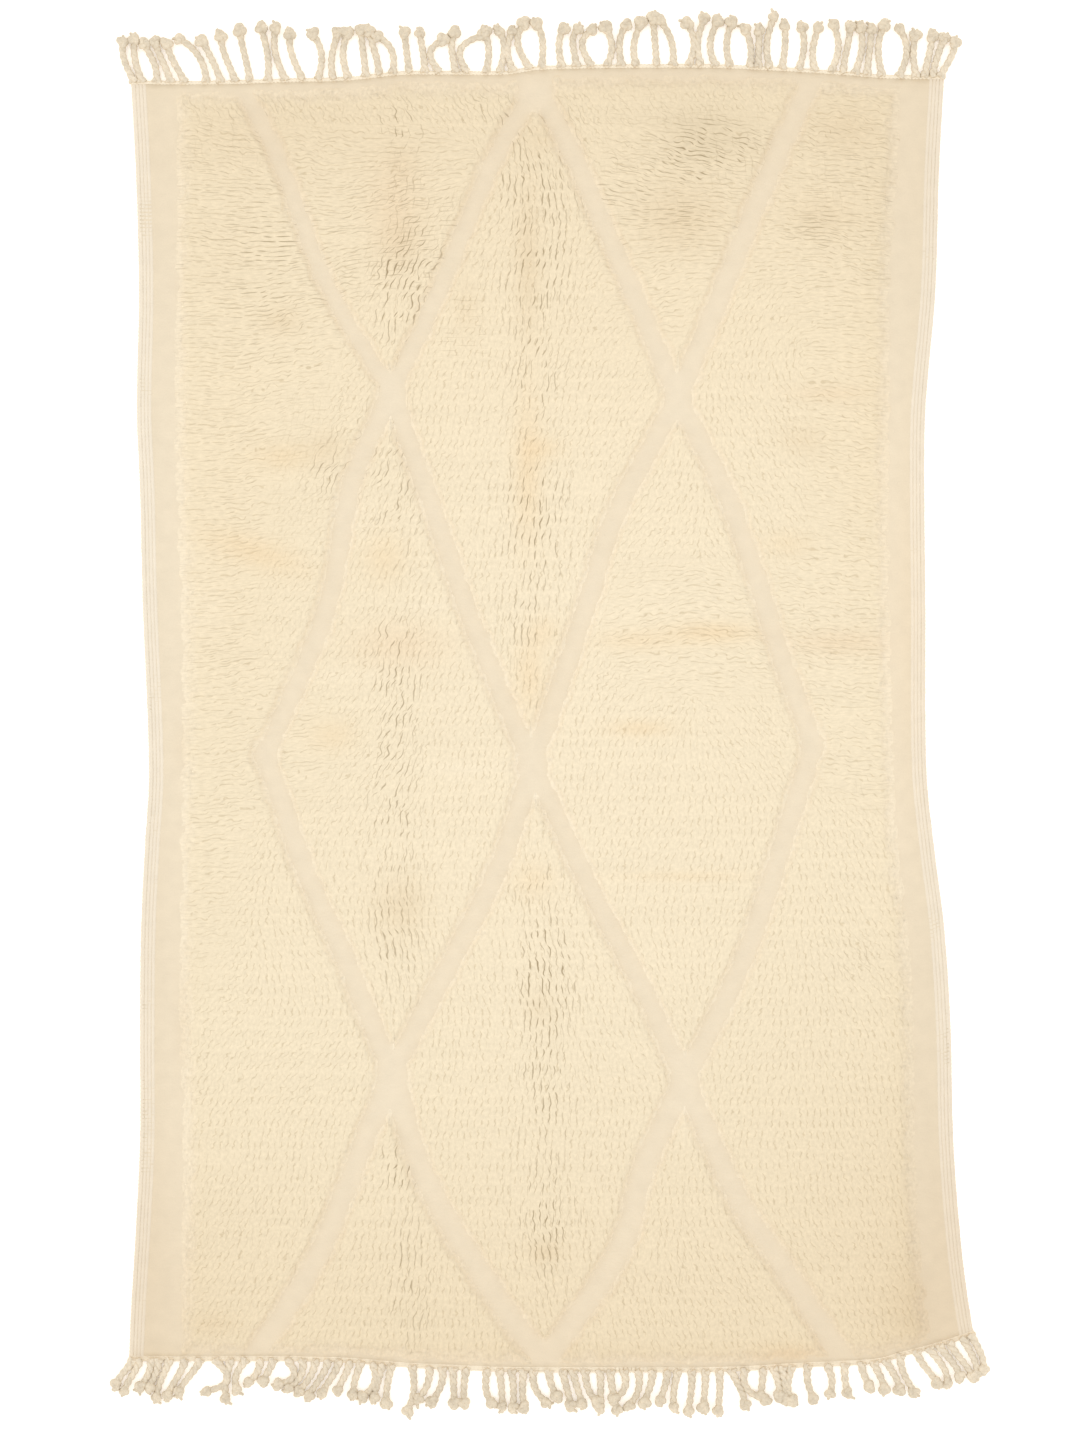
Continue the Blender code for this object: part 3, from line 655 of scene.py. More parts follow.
def breaks(tree, lines, length, tall, slant, shift, turn, least, breadth):
    """How deep a place is in the short breaks between the knots, 0 to 1.

    They run along the lines of knots in uneven tiers, lean as the pile does, close at the ends of
    their tier, and fewer of them open as the least chance rises. The odd factors only keep
    neighbours from being alike.
    """
    run = reckon(tree, "MULTIPLY_ADD", length, 1 / tall, shift)
    tier = reckon(tree, "FLOOR", run)
    place = reckon(tree, "SUBTRACT", reckon(tree, "SUBTRACT", run, tier), 0.5)
    stagger = reckon(tree, "SINE", reckon(tree, "MULTIPLY", tier, 2.4))
    line = reckon(tree, "MULTIPLY_ADD", stagger, 0.5, lines)
    back = reckon(tree, "MULTIPLY", place, slant)
    line = reckon(tree, "MULTIPLY_ADD", back, -tall, line)
    line = reckon(tree, "ADD", line, turn)
    number = reckon(tree, "ROUND", line)
    away = reckon(tree, "ABSOLUTE", reckon(tree, "SUBTRACT", line, number))
    apart = reckon(tree, "MULTIPLY", number, 3.71)
    own = wire(tree, "ShaderNodeCombineXYZ", {0: apart, 1: reckon(tree, "MULTIPLY", tier, 5.37)})
    chance = cloudy(tree, own, scale=1.0, detail=0.0, noise_dimensions="2D")
    ready = ranged(tree, reckon(tree, "SUBTRACT", chance, least), 0.0, 0.28, 0.0, 1.0)
    close = reckon(tree, "ABSOLUTE", reckon(tree, "MULTIPLY", place, 2.1))
    close = reckon(tree, "SUBTRACT", 1.0, reckon(tree, "POWER", close, 3.0))
    ready = reckon(tree, "MULTIPLY", ready, reckon(tree, "MAXIMUM", close, 0.0))
    edge = reckon(tree, "DIVIDE", away, reckon(tree, "MULTIPLY_ADD", ready, breadth, 0.01))
    edge = ranged(tree, edge, 0.0, 1.0, 1.0, 0.0, interpolation_type="SMOOTHSTEP")
    return reckon(tree, "MULTIPLY", edge, ready)


def cracks(tree, knots, opened, lie, breadth):
    """How deep a place is in the cracks that have opened in the pile, 0 to 1."""
    u, v = (part_of(tree, knots, part) for part in "XY")
    wander, wiggle = (
        cloudy(tree, knots, scale, detail=1.0, give="Color", noise_dimensions="2D")
        for scale in (0.24, 0.42)
    )
    both = []
    for lines, length, part, true_shape, (tall, stray, uneven) in (
        (u, v, "X", KNOT_ALONG / KNOT_ACROSS, CRACK_LINES[0]),
        (v, u, "Y", KNOT_ACROSS / KNOT_ALONG, CRACK_LINES[1]),
    ):
        slant = reckon(tree, "MULTIPLY", part_of(tree, lie, part), true_shape)
        shift = reckon(tree, "MULTIPLY", part_of(tree, wander, part), uneven)
        turn = reckon(tree, "MULTIPLY", part_of(tree, wiggle, part), stray)
        wide = part_of(tree, opened, part)
        least = reckon(tree, "MULTIPLY_ADD", wide, OPENED_CHANCE - CLOSED_CHANCE, CLOSED_CHANCE)
        gap = breaks(tree, lines, length, tall, slant, shift, turn, least, breadth)
        both.append(reckon(tree, "MULTIPLY", gap, wide))
    return reckon(tree, "MAXIMUM", *both)


def tufts(tree, knots):
    """The rounded tops of the knots, 1 on each and less between them."""
    top = wire(
        tree,
        "ShaderNodeTexVoronoi",
        {"Vector": knots, "Scale": 1.0, "Randomness": 0.75, "Smoothness": 0.3},
        "Distance",
        feature="SMOOTH_F1",
        voronoi_dimensions="2D",
    )
    return ranged(tree, top, 0.1, 0.8, 1.0, 0.0)


def by_parts(tree, vector, factors):
    """A place or a colour, multiplied part by part."""
    return wire(tree, "ShaderNodeVectorMath", {0: vector, 1: factors}, operation="MULTIPLY")


def either(tree, rule, pair):
    """The first of a pair where the columns rule, the second where the rows do."""
    feed = {0: rule, 2: pair[0], 3: pair[1]}
    return wire(tree, "ShaderNodeMix", feed, 0, data_type="FLOAT")


def knotted_wool(name):
    """Knotted pile: leaning strokes of painted shade between the tufts, cracks painted dark with shade to
    the roots, a paler rim of painted light, fibre and stains.
    """
    material, tree, shader = wool(name)
    place = wire(tree, "ShaderNodeTexCoord", {}, "Object")
    knots, opened, lie = (stored(tree, kept) for kept in ("knots", "opened", "lie"))
    lean, tilt, rule = (part_of(tree, lie, part) for part in "XYZ")
    u, v = (part_of(tree, knots, part) for part in "XY")
    strokes = []
    for lines, length, slant, (tall, least, breadth, curl, stray, uneven) in (
        (u, v, lean, STROKE_LINES[0]),
        (v, u, tilt, STROKE_LINES[1]),
    ):
        bend = cloudy(tree, knots, curl, detail=1.0, give="Color", noise_dimensions="2D")
        bend = scaled(tree, bend, stray)
        shift = reckon(tree, "MULTIPLY", part_of(tree, bend, "Y"), uneven)
        turn = part_of(tree, bend, "X")
        strokes.append(breaks(tree, lines, length, tall, slant, shift, turn, least, breadth))
    stroke = either(tree, rule, strokes)
    yarns = []
    for stretch in YARN_STRETCHES:
        stand = by_parts(tree, knots, stretch)
        yarns.append(cloudy(tree, stand, scale=1.0, detail=2.0, noise_dimensions="2D"))
    yarn = either(tree, rule, yarns)
    fibre = cloudy(tree, place, FIBRE_GRAIN, detail=2.0)
    streak = cloudy(tree, by_parts(tree, place, STREAKS), scale=1.0, detail=1.0)
    both = reckon(tree, "MULTIPLY_ADD", fibre, 0.4, yarn)
    both = reckon(tree, "MULTIPLY_ADD", streak, 0.25, both)
    light = ranged(tree, both, 0.5, 1.15, at_low=0.93, at_high=1.08)
    # Towards the rims the wool turns paler: painted light against the shade where the pile rounds down.
    grown = ranged(tree, part_of(tree, opened, "Z"), 0.3, 1.0, 0.0, 1.0)
    hue_with_painted_rim_light = mixed(tree, grown, (*RIM_PAINTED_LIGHT_WOOL, 1.0), (*PILE_WOOL, 1.0))
    wear_and_painted_light = mixed(tree, 1.0, stored(tree, "tone", "Color"), hue_with_painted_rim_light, "MULTIPLY")
    wear_and_painted_light = scaled(tree, wear_and_painted_light, light)
    shade = reckon(tree, "MULTIPLY", reckon(tree, "MULTIPLY", stroke, STROKE_STRENGTH), grown)
    wear_and_painted_light = mixed(tree, shade, wear_and_painted_light, (*STROKE_SHADE, 1.0), "MULTIPLY")
    # The cracks get painted shade: the wool is mixed dark towards their roots.
    dark = cracks(tree, knots, opened, lie, CRACK_BREADTH)
    dark = reckon(tree, "MULTIPLY", dark, CRACK_SHADE_STRENGTH)
    wear_and_painted_light = mixed(tree, dark, wear_and_painted_light, (*CRACK_PAINTED_SHADE, 1.0))
    height = reckon(tree, "MULTIPLY_ADD", stroke, -1.0, yarn)
    dress(tree, shader, wear_and_painted_light, height, strength=0.3, deep=0.0012)
    return material


def opening_nodes():
    """Geometry nodes that round the tufts and sink the cracks in the pile's mesh."""
    tree = bpy.data.node_groups.new("opened_pile", "GeometryNodeTree")
    for way in ("INPUT", "OUTPUT"):
        tree.interface.new_socket("Mesh", in_out=way, socket_type="NodeSocketGeometry")
    mesh = wire(tree, "NodeGroupInput", {})
    kind = "GeometryNodeInputNamedAttribute"
    knots, opened, lie = (
        wire(tree, kind, {"Name": kept}, data_type="FLOAT_VECTOR")
        for kept in ("knots", "opened", "lie")
    )
    groove = cracks(tree, knots, opened, lie, GROOVE_BREADTH)
    lift = reckon(tree, "MULTIPLY_ADD", groove, -GROOVE_DEPTH, tufts(tree, knots))
    lift = reckon(tree, "MULTIPLY", lift, part_of(tree, opened, "Z"))
    lift = wire(tree, "ShaderNodeCombineXYZ", {2: reckon(tree, "MULTIPLY", lift, TUFT_RISE)})
    mesh = wire(tree, "GeometryNodeSetPosition", {"Geometry": mesh, "Offset": lift})
    tree.nodes.new("NodeGroupOutput")
    tree.links.new(mesh, tree.nodes["Group Output"].inputs[0])
    return tree


bm = bmesh.new()
left, right, low, high = -0.716, 0.736, -1.244, 1.212
across_cells = round((right - left) / PILE_CELL)
along_cells = round((high - low) / PILE_CELL)
bmesh.ops.create_grid(bm, x_segments=across_cells, y_segments=along_cells, size=0.5)
bmesh.ops.scale(bm, vec=(right - left, high - low, 1.0), verts=bm.verts)
bmesh.ops.translate(bm, vec=((left + right) / 2, (low + high) / 2, 0.0), verts=bm.verts)
places = np.array([vert.co for vert in bm.verts])
x, y = places[:, 0], places[:, 1]
depth = inside_pile(x, y)
bare = [vert for vert, inside in zip(bm.verts, depth) if inside < -PILE_FOOT]
bmesh.ops.delete(bm, geom=bare, context="VERTS")
loose = [vert for vert in bm.verts if not vert.link_faces]
bmesh.ops.delete(bm, geom=loose, context="VERTS")
whole = put_down("pile", bm, knotted_wool("knotted_ivory_wool"))

places = places_of(whole.data)
x, y = places[:, 0].copy(), places[:, 1].copy()
depth = inside_pile(x, y)
full = np.clip(depth / PILE_RIM, 0.0, 1.0)
swell = sum(height * waves(x, y, pitch, turn) for height, pitch, turn in TOP_WAVES)
for across, height, half in FOLD_RIDGES:
    swell += height * np.exp(-(((x - across) / half) ** 2))
rise = PILE_HEIGHT * full * full * (3 - 2 * full) + full * swell
foot = np.where(depth > 0, 0.1, 0.5) * np.minimum(depth, 0.010)
places[:, 2] = GROUND_THICK + rise + foot - PILE_SINK
whole.data.vertices.foreach_set("co", places.ravel())

sway_x, sway_y = (height * waves(x, y, pitch, turn) for height, pitch, turn in KNOT_WAVES)
lean, tilt, rule = lie_of_pile(x, y)
columns = COLUMNS_OPEN * (1 - rule)
rows = ROWS_OPEN * rule
for across, along, half_x, half_y, in_columns, in_rows in OPENINGS:
    wide, long = half_x * SPREAD_ACROSS, half_y * SPREAD_ALONG
    spot = soft_spot(x, y, across, along, wide, long, SPOT_EDGE)
    columns += spot * in_columns
    rows += spot * in_rows
flat = np.zeros(len(x))
for name, values in (
    ("knots", ((x + sway_x) / KNOT_ACROSS, (y + sway_y) / KNOT_ALONG, flat)),
    ("opened", (np.minimum(columns, 1.0), np.minimum(rows, 1.0), full)),
    ("lie", (lean, tilt, rule)),
):
    attribute = whole.data.attributes.new(name, "FLOAT_VECTOR", "POINT")
    attribute.data.foreach_set("vector", np.stack(values, axis=1).ravel())
lay_tones(whole.data, STAINS + PILE_TONES)

sink = whole.modifiers.new("opened_pile", "NODES")
sink.node_group = opening_nodes()
graph = bpy.context.evaluated_depsgraph_get()
sunk = bpy.data.meshes.new_from_object(
    whole.evaluated_get(graph), preserve_all_data_layers=True, depsgraph=graph
)
whole.modifiers.clear()
whole.data = sunk
bpy.ops.object.select_all(action="DESELECT")
whole.select_set(True)
bpy.context.view_layer.objects.active = whole
bpy.ops.object.mode_set(mode="EDIT")
bpy.ops.mesh.select_all(action="SELECT")
bpy.ops.mesh.separate(type="LOOSE")
bpy.ops.object.mode_set(mode="OBJECT")
pile_pieces = list(bpy.context.selected_objects)
for obj in pile_pieces:
    x, y, _ = places_of(obj.data).T
    away = [np.hypot(x - across, y - along).min() for _, across, along in PILE_AREAS]
    obj.name = PILE_AREAS[int(np.argmin(away))][0]
    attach(obj, "root")
    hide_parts("rug")


# The selvedges: at each long side four bundles of warps, overcast with wool weft into fine cords
# that lie side by side and bead a little where the weft wraps them.
SELVEDGE_RIBS = 4
RIB_PITCH = 0.0066
RIB_RADIUS = 0.0052
RIB_MIDDLE = 0.0020
RIB_FLATNESS = 0.78
RIB_SHORT = 0.003
BEAD_STEP = 0.0036
BEAD = 0.0003
FLOOR_GAP = 0.0002
SELVEDGE_WOOL = (0.850, 0.760, 0.622)


def cord_curve(name, sides):
    """An empty curve for cords, drawn round by the radius of their points."""
    curve = bpy.data.curves.new(name, "CURVE")
    curve.dimensions = "3D"
    curve.bevel_depth = 1.0
    curve.bevel_resolution = sides
    curve.use_fill_caps = True
    return curve


def add_strand(curve, points, closed=False):
    """Adds one strand to a cord curve, through points of across, along, height and radius."""
    spline = curve.splines.new("POLY")
    spline.points.add(len(points) - 1)
    for point, (x, y, z, radius) in zip(spline.points, points):
        point.co = (x, y, z, 1.0)
        point.radius = radius
    spline.use_smooth = True
    spline.use_cyclic_u = closed


def finished(curve, material):
    """Makes a cord curve a mesh that rides the rug, pressed flat where it lies on the floor."""
    name = curve.name
    drawn = placed(name, curve)
    graph = bpy.context.evaluated_depsgraph_get()
    mesh = bpy.data.meshes.new_from_object(drawn.evaluated_get(graph), depsgraph=graph)
    bpy.data.objects.remove(drawn, do_unlink=True)
    bm = bmesh.new()
    bm.from_mesh(mesh)
    for vert in bm.verts:
        vert.co.z = max(vert.co.z, FLOOR_GAP)
    return put_down(name, bm, material)


selvedge_wool = flat_woven("overcast_ivory_wool", SELVEDGE_WOOL)
for name, column, inward in (("selvedge_left", 1, 1), ("selvedge_right", 4, -1)):
    curve = cord_curve(name, 1)
    for rib in range(SELVEDGE_RIBS):
        away = inward * (rib + 0.5) * RIB_PITCH
        edge = float(reading(SIDES, -1.2, column)) + away
        low = float(reading(ENDS, edge, 2)) + RIB_SHORT
        edge = float(reading(SIDES, 1.2, column)) + away
        high = float(reading(ENDS, edge, 1)) - RIB_SHORT
        count = round((high - low) / BEAD_STEP)
        points = []
        for i in range(count + 1):
            y = low + (high - low) * i / count
            x = float(reading(SIDES, y, column)) + away
            bead = BEAD * (-1) ** i + BEAD * noise.noise(Vector((x * 90, y * 90, rib * 7.0)))
            lean = 0.0005 * noise.noise(Vector((rib * 5.0, y * 40, 2.0)))
            points.append((x + lean, y, RIB_MIDDLE, RIB_RADIUS + bead))
        add_strand(curve, points)
    obj = finished(curve, selvedge_wool)
    for vert in obj.data.vertices:
        vert.co.z *= RIB_FLATNESS
    lay_tones(obj.data, STAINS, FLAT_STAINS)
    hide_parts("rug")


# The fringes: the warps of the ground, gathered in twos, plied into soft cords and each tied off in
# an overhand knot with its loose ends beyond it. They are undyed, a little greyer than the pile. A
# heading of twined weft locks them at the top, and three rows of thick weft at the bottom.
PLY_PITCH = 0.026
CORD_MIDDLE = 0.0058
CORD_STEP = 0.0028
ROOT_TUCK = 0.004
KNOT_PLY = 0.0060
KNOT_STEPS = 22
KNOT_RISE = 0.0024
LOOSE_ENDS = 4
LOOSE_START = 0.006
LOOSE_LENGTH = 0.005
LOOSE_CHANCE = 0.004
LOOSE_RADIUS = 0.0036
WARP_WOOL = (0.738, 0.641, 0.497)
# The headings' wool is set paler than the plain wool: painted light that offsets the shade in the crevices
# between their strands.
HEADING_WOOL_PAINTED_LIGHT = (0.925, 0.828, 0.662)
TOP_HEADING_STAINS = 0.3
TWINE_PITCH = 0.014
TWINE_RADIUS = 0.0031
TWINE_STEPS = 619
WEFT_RADIUS = 0.0024
WEFT_STEPS = 419

# The left end of each heading and its length.
TOP_HEADING = (-0.793, 1.541)
BOTTOM_HEADING = (-0.796, 1.603)

# The cords of the top fringe (1) and of the bottom one (-1). Columns: how far from its root a cord
# stays spread, the radius of a ply, the size of a knot's loops.
CORD_SIZES = {
    1: (0.007, 0.0046, 0.0029),
    -1: (0.013, 0.0046, 0.0027),
}

# Grime and painted shade on the fringes' knots, where their loops shade each other, in the columns of the
# stains.
KNOT_GRIME_AND_SHADE = (
    (0.0, 1.306, 3.0, 0.04, 0.0, "grime", 0.42),
    (0.0, -1.304, 3.0, 0.04, 0.0, "grime", 0.45),
)

# A row for each bunch of cords. Columns: first root and last root across, first knot and last knot
# across, first knot and last knot along, then for each cord its sideways bow and, where it has one,
# the sideways hook that brings it to its knot.
TOP_BUNCHES = (
    (-0.788, -0.773, -0.809, -0.788, 1.272, 1.28, (-0.006, -0.006), (0.0, -0.003)),
    (-0.745, -0.692, -0.768, -0.726, 1.268, 1.274, (0.006, 0.0, -0.005), (0.0, 0.0, -0.005)),
    (-0.651, -0.651, -0.701, -0.701, 1.276, 1.276, (0.005,), (-0.014,)),
    (-0.623, -0.568, -0.659, -0.587, 1.278, 1.293, (-0.002, -0.003, 0.0), (-0.008, 0.0, 0.0)),
    (-0.534, -0.468, -0.546, -0.492, 1.301, 1.293, (0.005, -0.008, -0.006), ()),
    (-0.439, -0.439, -0.448, -0.448, 1.289, 1.289, (0.009,), (-0.004,)),
    (-0.41, -0.381, -0.401, -0.383, 1.292, 1.295, (-0.006, -0.008), ()),
    (-0.348, -0.297, -0.357, -0.327, 1.295, 1.285, (0.0, 0.002, 0.007), (0.0, 0.0, -0.014)),
    (-0.266, -0.236, -0.274, -0.245, 1.295, 1.288, (0.0, 0.001), ()),
    (-0.208, -0.208, -0.201, -0.201, 1.28, 1.28, (-0.015,), (0.01,)),
    (-0.177, -0.177, -0.179, -0.179, 1.295, 1.295, (-0.004,), (0.004,)),
    (-0.155, -0.155, -0.128, -0.128, 1.289, 1.289, (-0.018,), (0.016,)),
    (-0.12, -0.068, -0.12, -0.07, 1.297, 1.293, (0.005, 0.006, -0.009), (0.0, -0.006, 0.0)),
    (-0.037, -0.014, -0.048, -0.024, 1.306, 1.306, (-0.013, 0.003), (0.004, -0.008)),
    (0.024, 0.109, 0.028, 0.108, 1.295, 1.301, (-0.004, -0.002, -0.012, 0.01), (0.006, 0.012, 0.01, 0.0)),
    (0.137, 0.166, 0.147, 0.174, 1.305, 1.305, (-0.004, -0.008), (0.008, 0.0)),
    (0.204, 0.235, 0.198, 0.211, 1.323, 1.317, (0.0, 0.006), (0.0, -0.006)),
    (0.265, 0.265, 0.262, 0.262, 1.31, 1.31, (0.009,), (-0.004,)),
    (0.288, 0.344, 0.294, 0.346, 1.314, 1.314, (-0.008, -0.011, -0.007), ()),
    (0.381, 0.397, 0.372, 0.399, 1.299, 1.294, (0.004, 0.0), (-0.004, 0.0)),
    (0.419, 0.442, 0.426, 0.447, 1.316, 1.308, (-0.008, 0.003), ()),
    (0.474, 0.535, 0.48, 0.541, 1.302, 1.302, (0.006, -0.006, 0.01), ()),
    (0.558, 0.604, 0.572, 0.612, 1.302, 1.298, (0.0, 0.006, 0.0), ()),
    (0.632, 0.697, 0.636, 0.695, 1.306, 1.285, (-0.006, 0.011, -0.004), (0.005, -0.004, 0.0)),
    (0.713, 0.743, 0.728, 0.771, 1.287, 1.27, (0.0, 0.0, 0.003), (0.0, 0.004, 0.0)),
)
BOTTOM_BUNCHES = (
    (-0.79, -0.777, -0.822, -0.806, -1.27, -1.287, (0.0, 0.001), ()),
    (-0.755, -0.741, -0.775, -0.757, -1.282, -1.283, (0.003, 0.002), (-0.004, 0.0)),
    (-0.72, -0.662, -0.745, -0.702, -1.3, -1.285, (-0.002, 0.002, 0.001), ()),
    (-0.635, -0.635, -0.65, -0.65, -1.283, -1.283, (0.022,), (-0.018,)),
    (-0.604, -0.575, -0.614, -0.593, -1.297, -1.288, (-0.003, -0.008), ()),
    (-0.548, -0.498, -0.57, -0.514, -1.272, -1.274, (0.002, 0.001, 0.014), (-0.008, 0.0, -0.016)),
    (-0.468, -0.419, -0.494, -0.455, -1.286, -1.292, (0.006, 0.004, 0.003), (-0.008, -0.004, 0.0)),
    (-0.399, -0.357, -0.43, -0.372, -1.285, -1.294, (0.003, 0.002, -0.002), ()),
    (-0.335, -0.299, -0.353, -0.309, -1.297, -1.308, (0.009, 0.0, -0.002), (-0.008, 0.0, 0.0)),
    (-0.26, -0.26, -0.268, -0.268, -1.321, -1.321, (0.005,), (-0.004,)),
    (-0.227, -0.203, -0.248, -0.222, -1.3, -1.31, (0.004, 0.006), (-0.006, -0.003)),
    (-0.182, -0.157, -0.18, -0.161, -1.314, -1.314, (0.0, -0.002), ()),
    (-0.117, -0.048, -0.109, -0.048, -1.31, -1.316, (-0.004, 0.001, 0.002, -0.002), (0.006, 0.0, 0.0, 0.0)),
    (-0.029, 0.0, -0.006, 0.015, -1.307, -1.298, (-0.006, -0.002), (0.006, 0.003)),
    (0.026, 0.046, 0.041, 0.062, -1.314, -1.31, (0.0, -0.001), ()),
    (0.069, 0.097, 0.092, 0.097, -1.306, -1.32, (-0.002, 0.001), (0.01, 0.0)),
    (0.117, 0.142, 0.129, 0.123, -1.322, -1.306, (-0.002, 0.006), (0.0, -0.012)),
    (0.169, 0.224, 0.152, 0.211, -1.312, -1.301, (0.006, 0.003, 0.003), (-0.006, 0.0, 0.0)),
    (0.245, 0.323, 0.237, 0.321, -1.316, -1.323, (-0.003, 0.002, 0.001, 0.002), ()),
    (0.346, 0.346, 0.372, 0.372, -1.316, -1.316, (0.002,), ()),
    (0.373, 0.406, 0.411, 0.402, -1.303, -1.297, (-0.011, 0.001), (0.014, 0.0)),
    (0.426, 0.461, 0.437, 0.462, -1.297, -1.302, (0.003, 0.0, -0.005), (0.0, 0.0, 0.005)),
    (0.492, 0.562, 0.501, 0.566, -1.298, -1.292, (-0.005, 0.006, -0.002), ()),
    (0.594, 0.639, 0.608, 0.665, -1.282, -1.289, (-0.003, 0.001, 0.003), ()),
    (0.668, 0.698, 0.692, 0.736, -1.289, -1.272, (-0.006, -0.003), ()),
    (0.721, 0.76, 0.756, 0.803, -1.272, -1.255, (0.007, 0.003, 0.0), ()),
    (0.785, 0.801, 0.813, 0.825, -1.257, -1.244, (0.004, 0.005), ()),
)


def plied_wool(name, colour):
    """Plied warp wool: a fuzzy fibre, cloudy in tone, with the grime and painted shade of the knots laid on
    it.
    """
    material, tree, shader = wool(name)
    place = wire(tree, "ShaderNodeTexCoord", {}, "Object")
    fibre = cloudy(tree, place, scale=300.0, detail=3.0)
    both = reckon(tree, "ADD", fibre, cloudy(tree, place, scale=60.0, detail=2.0))
    light = ranged(tree, both, 0.7, 1.3, at_low=0.86, at_high=1.12)
    wear_and_painted_light = by_parts(tree, stored(tree, "tone", "Color"), colour)
    dress(tree, shader, scaled(tree, wear_and_painted_light, light), fibre, strength=0.6, deep=0.0006)
    return material


def cord_path(root, knot, bow, hook, steps):
    """Places along a cord's middle line, from its root to its knot."""
    path = []
    for i in range(steps + 1):
        t = i / steps
        ease = t * t * (3 - 2 * t)
        x = root.x + (knot.x - hook - root.x) * (0.5 * t + 0.5 * ease) + hook * t ** 5
        x += bow * 1.1 * math.sin(math.pi * t)
        rise = t + min(abs(hook) * 22, 0.4) * t * (1 - t)
        path.append(Vector((x, root.y + (knot.y - root.y) * rise)))
    return path


def add_cord(curve, root, knot, bow, hook, number):
    """Adds one knotted cord: two plies, an overhand knot and its loose ends."""
    outward = 1 if knot.y > root.y else -1
    chance = [noise.cell(Vector((number * 1.7, i * 2.3, outward))) for i in range(10)]
    length = (knot - root).length
    path = cord_path(root, knot, bow, hook, max(8, round(length / CORD_STEP)))
    turn = chance[0] * 6.3
    gather, ply_radius, knot_size = CORD_SIZES[outward]
    for ply in (0, 1):
        points = []
        gone = 0.0
        for i, place in enumerate(path):
            before, after = path[max(i - 1, 0)], path[min(i + 1, len(path) - 1)]
            along = (after - before).normalized()
            across = Vector((along.y, -along.x))
            angle = turn + 2 * math.pi * gone / PLY_PITCH + math.pi * ply
            flare = math.exp(-gone / gather)
            spread = ply_radius * (0.52 + 0.45 * flare)
            side = across * (spread * math.cos(angle))
            lift = CORD_MIDDLE + 0.6 * spread * math.sin(angle)
            radius = ply_radius * (1 + 0.25 * flare + 0.04 * math.sin(gone * 900 + ply))
            points.append((place.x + side.x, place.y + side.y, lift, radius))
            gone += (after - before).length / 2
        add_strand(curve, points)
    along = (path[-1] - path[-2]).normalized()
    across = Vector((along.y, -along.x))
    roll = chance[1] * 2.1
    loops = []
    for i in range(KNOT_STEPS):
        t = 2 * math.pi * i / KNOT_STEPS
        p = knot_size * (math.sin(t) + 2 * math.sin(2 * t)) * (0.9 + 0.2 * chance[2])
        q = knot_size * (math.cos(t) - 2 * math.cos(2 * t)) * (0.9 + 0.25 * chance[3])
        p, q = p * math.cos(roll) - q * math.sin(roll), q * math.cos(roll) + p * math.sin(roll)
        place = knot + across * p + along * q
        lift = KNOT_PLY + KNOT_RISE * (1 - math.sin(3 * t))
        loops.append((place.x, place.y, lift, KNOT_PLY * (0.92 + 0.16 * chance[4])))
    add_strand(curve, loops, closed=True)
    for tail in range(LOOSE_ENDS):
        fan = (chance[4 + tail] - 0.5) * 0.7 + (tail - 1.5) * 0.40
        way = along + across * fan
        start = knot + along * LOOSE_START
        reach = LOOSE_LENGTH + LOOSE_CHANCE * chance[8 - tail]
        points = []
        for i in range(4):
            t = i / 3
            place = start + way * (reach * t)
            points.append((place.x, place.y, 0.0066 - 0.0030 * t, LOOSE_RADIUS - 0.0012 * t))
        add_strand(curve, points)


def cords_of(bunches):
    """Root across, knot centre, bow and hook of every cord, worked out from the rows of bunches."""
    cords = []
    for root_a, root_b, knot_a, knot_b, along_a, along_b, bows, hooks in bunches:
        for i, bow in enumerate(bows):
            share = i / (len(bows) - 1) if len(bows) > 1 else 0.0
            root = root_a + (root_b - root_a) * share
            across = knot_a + (knot_b - knot_a) * share
            along = along_a + (along_b - along_a) * share
            along += 0.005 * noise.cell(Vector((len(cords) * 1.3, 4.0, along_a * 9))) - 0.0025
            hook = hooks[i] if hooks else 0.0
            cords.append((root, Vector((across, along)), bow, hook))
    return cords


warp_wool = plied_wool("plied_warp_wool", WARP_WOOL)
for name, bunches, column, outward in (
    ("top_cords", TOP_BUNCHES, 1, 1),
    ("bottom_cords", BOTTOM_BUNCHES, 2, -1),
):
    curve = cord_curve(name, 2)
    for number, (root, knot, bow, hook) in enumerate(cords_of(bunches)):
        start = Vector((root, float(reading(ENDS, root, column)) - outward * ROOT_TUCK))
        add_cord(curve, start, knot, bow, hook, number)
    obj = finished(curve, warp_wool)
    lay_tones(obj.data, KNOT_GRIME_AND_SHADE)
    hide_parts("fringe_top" if outward > 0 else "fringe_bottom")

# The headings take the paler wool, painted light against the shade between their strands.
heading_wool = flat_woven("heading_ivory_wool", HEADING_WOOL_PAINTED_LIGHT)
curve = cord_curve("top_heading", 1)
for ply in (0, 1):
    points = []
    for i in range(TWINE_STEPS + 1):
        x = TOP_HEADING[0] + TOP_HEADING[1] * i / TWINE_STEPS
        y = float(reading(ENDS, x, 1)) - HEADING_DEPTH / 2
        angle = 2 * math.pi * x / TWINE_PITCH + math.pi * ply
        y += 0.0017 * math.cos(angle)
        points.append((x, y, 0.0026 + 0.0006 * math.sin(angle), TWINE_RADIUS))
    add_strand(curve, points)
top_heading = finished(curve, heading_wool)
lay_tones(top_heading.data, STAINS, TOP_HEADING_STAINS)
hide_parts("fringe_top")

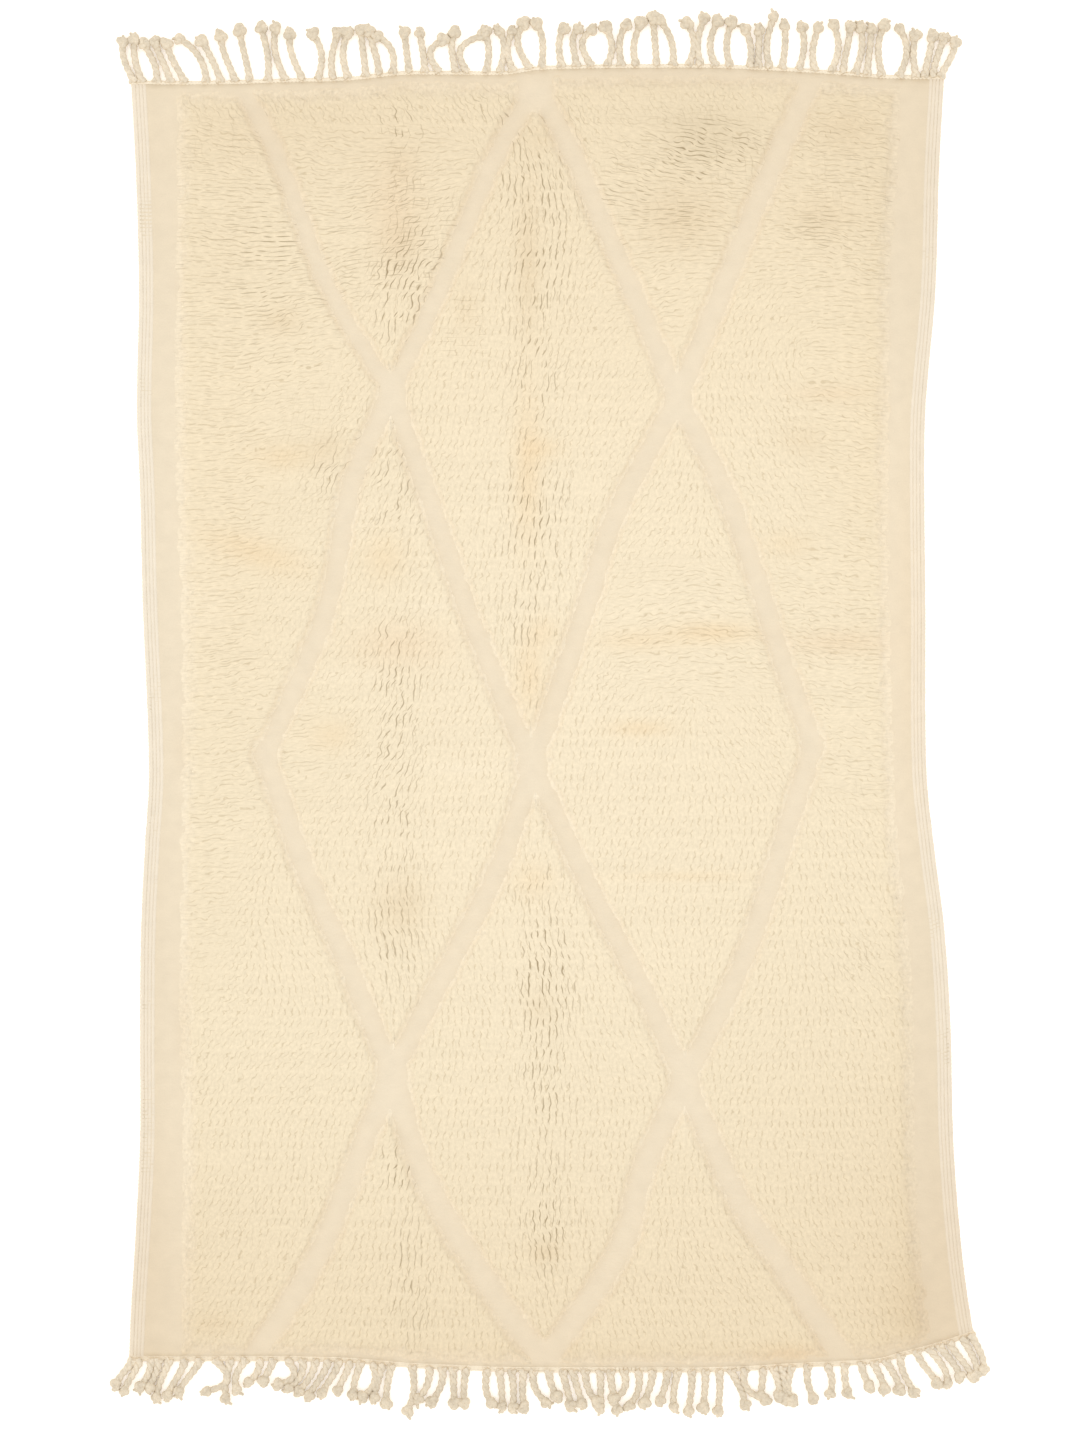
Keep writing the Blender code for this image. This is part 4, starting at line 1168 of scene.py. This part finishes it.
curve = cord_curve("bottom_heading", 1)
for row in (0, 1, 2):
    points = []
    for i in range(WEFT_STEPS + 1):
        x = BOTTOM_HEADING[0] + BOTTOM_HEADING[1] * i / WEFT_STEPS
        y = float(reading(ENDS, x, 2)) + HEADING_DEPTH * (0.16 + 0.33 * row)
        bead = 0.0002 * (-1) ** i
        points.append((x, y, 0.0030, WEFT_RADIUS + bead))
    add_strand(curve, points)
bottom_heading = finished(curve, heading_wool)
lay_tones(bottom_heading.data, STAINS, FLAT_STAINS)
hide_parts("fringe_bottom")


# The studio: a plain white floor, an even white room light, and a wide soft lamp at the left. The
# camera looks straight down from well above, on a stretch of floor as long as the picture shows.
CAMERA_HEIGHT = 6.0
PICTURE_LENGTH = 2.736
SENSOR = 36.0

floor_material, _, floor_shader = wool("white_floor")
floor_shader.inputs["Base Color"].default_value = (0.97, 0.95, 0.92, 1.0)
floor_shader.inputs["Emission Color"].default_value = (1.0, 0.93, 0.84, 1.0)
floor_shader.inputs["Emission Strength"].default_value = 0.28
bm = bmesh.new()
bmesh.ops.create_grid(bm, x_segments=1, y_segments=1, size=9.0)
bmesh.ops.translate(bm, vec=(0.0, 0.0, -0.0006), verts=bm.verts)
mesh = bpy.data.meshes.new("floor")
bm.to_mesh(mesh)
bm.free()
mesh.materials.append(floor_material)
floor = placed("floor", mesh)

world = bpy.data.worlds.new("white_room")
world.use_nodes = True
world.node_tree.nodes["Background"].inputs["Color"].default_value = (1.0, 1.0, 1.0, 1.0)
world.node_tree.nodes["Background"].inputs["Strength"].default_value = 1.148
bpy.context.scene.world = world
bpy.context.scene.view_settings.view_transform = "Standard"

lamp = bpy.data.lights.new("soft_lamp", "SUN")
lamp.energy = 0.22
lamp.angle = math.radians(50)
holder = placed("soft_lamp", lamp)
holder.rotation_euler = (math.radians(12), math.radians(-44), 0.0)

camera = bpy.data.cameras.new("overhead")
camera.sensor_width = SENSOR
camera.lens = SENSOR * CAMERA_HEIGHT / PICTURE_LENGTH
camera.clip_end = 60.0
holder = placed("overhead", camera)
holder.location = (-0.0171, -0.01615, CAMERA_HEIGHT)
bpy.context.scene.camera = holder
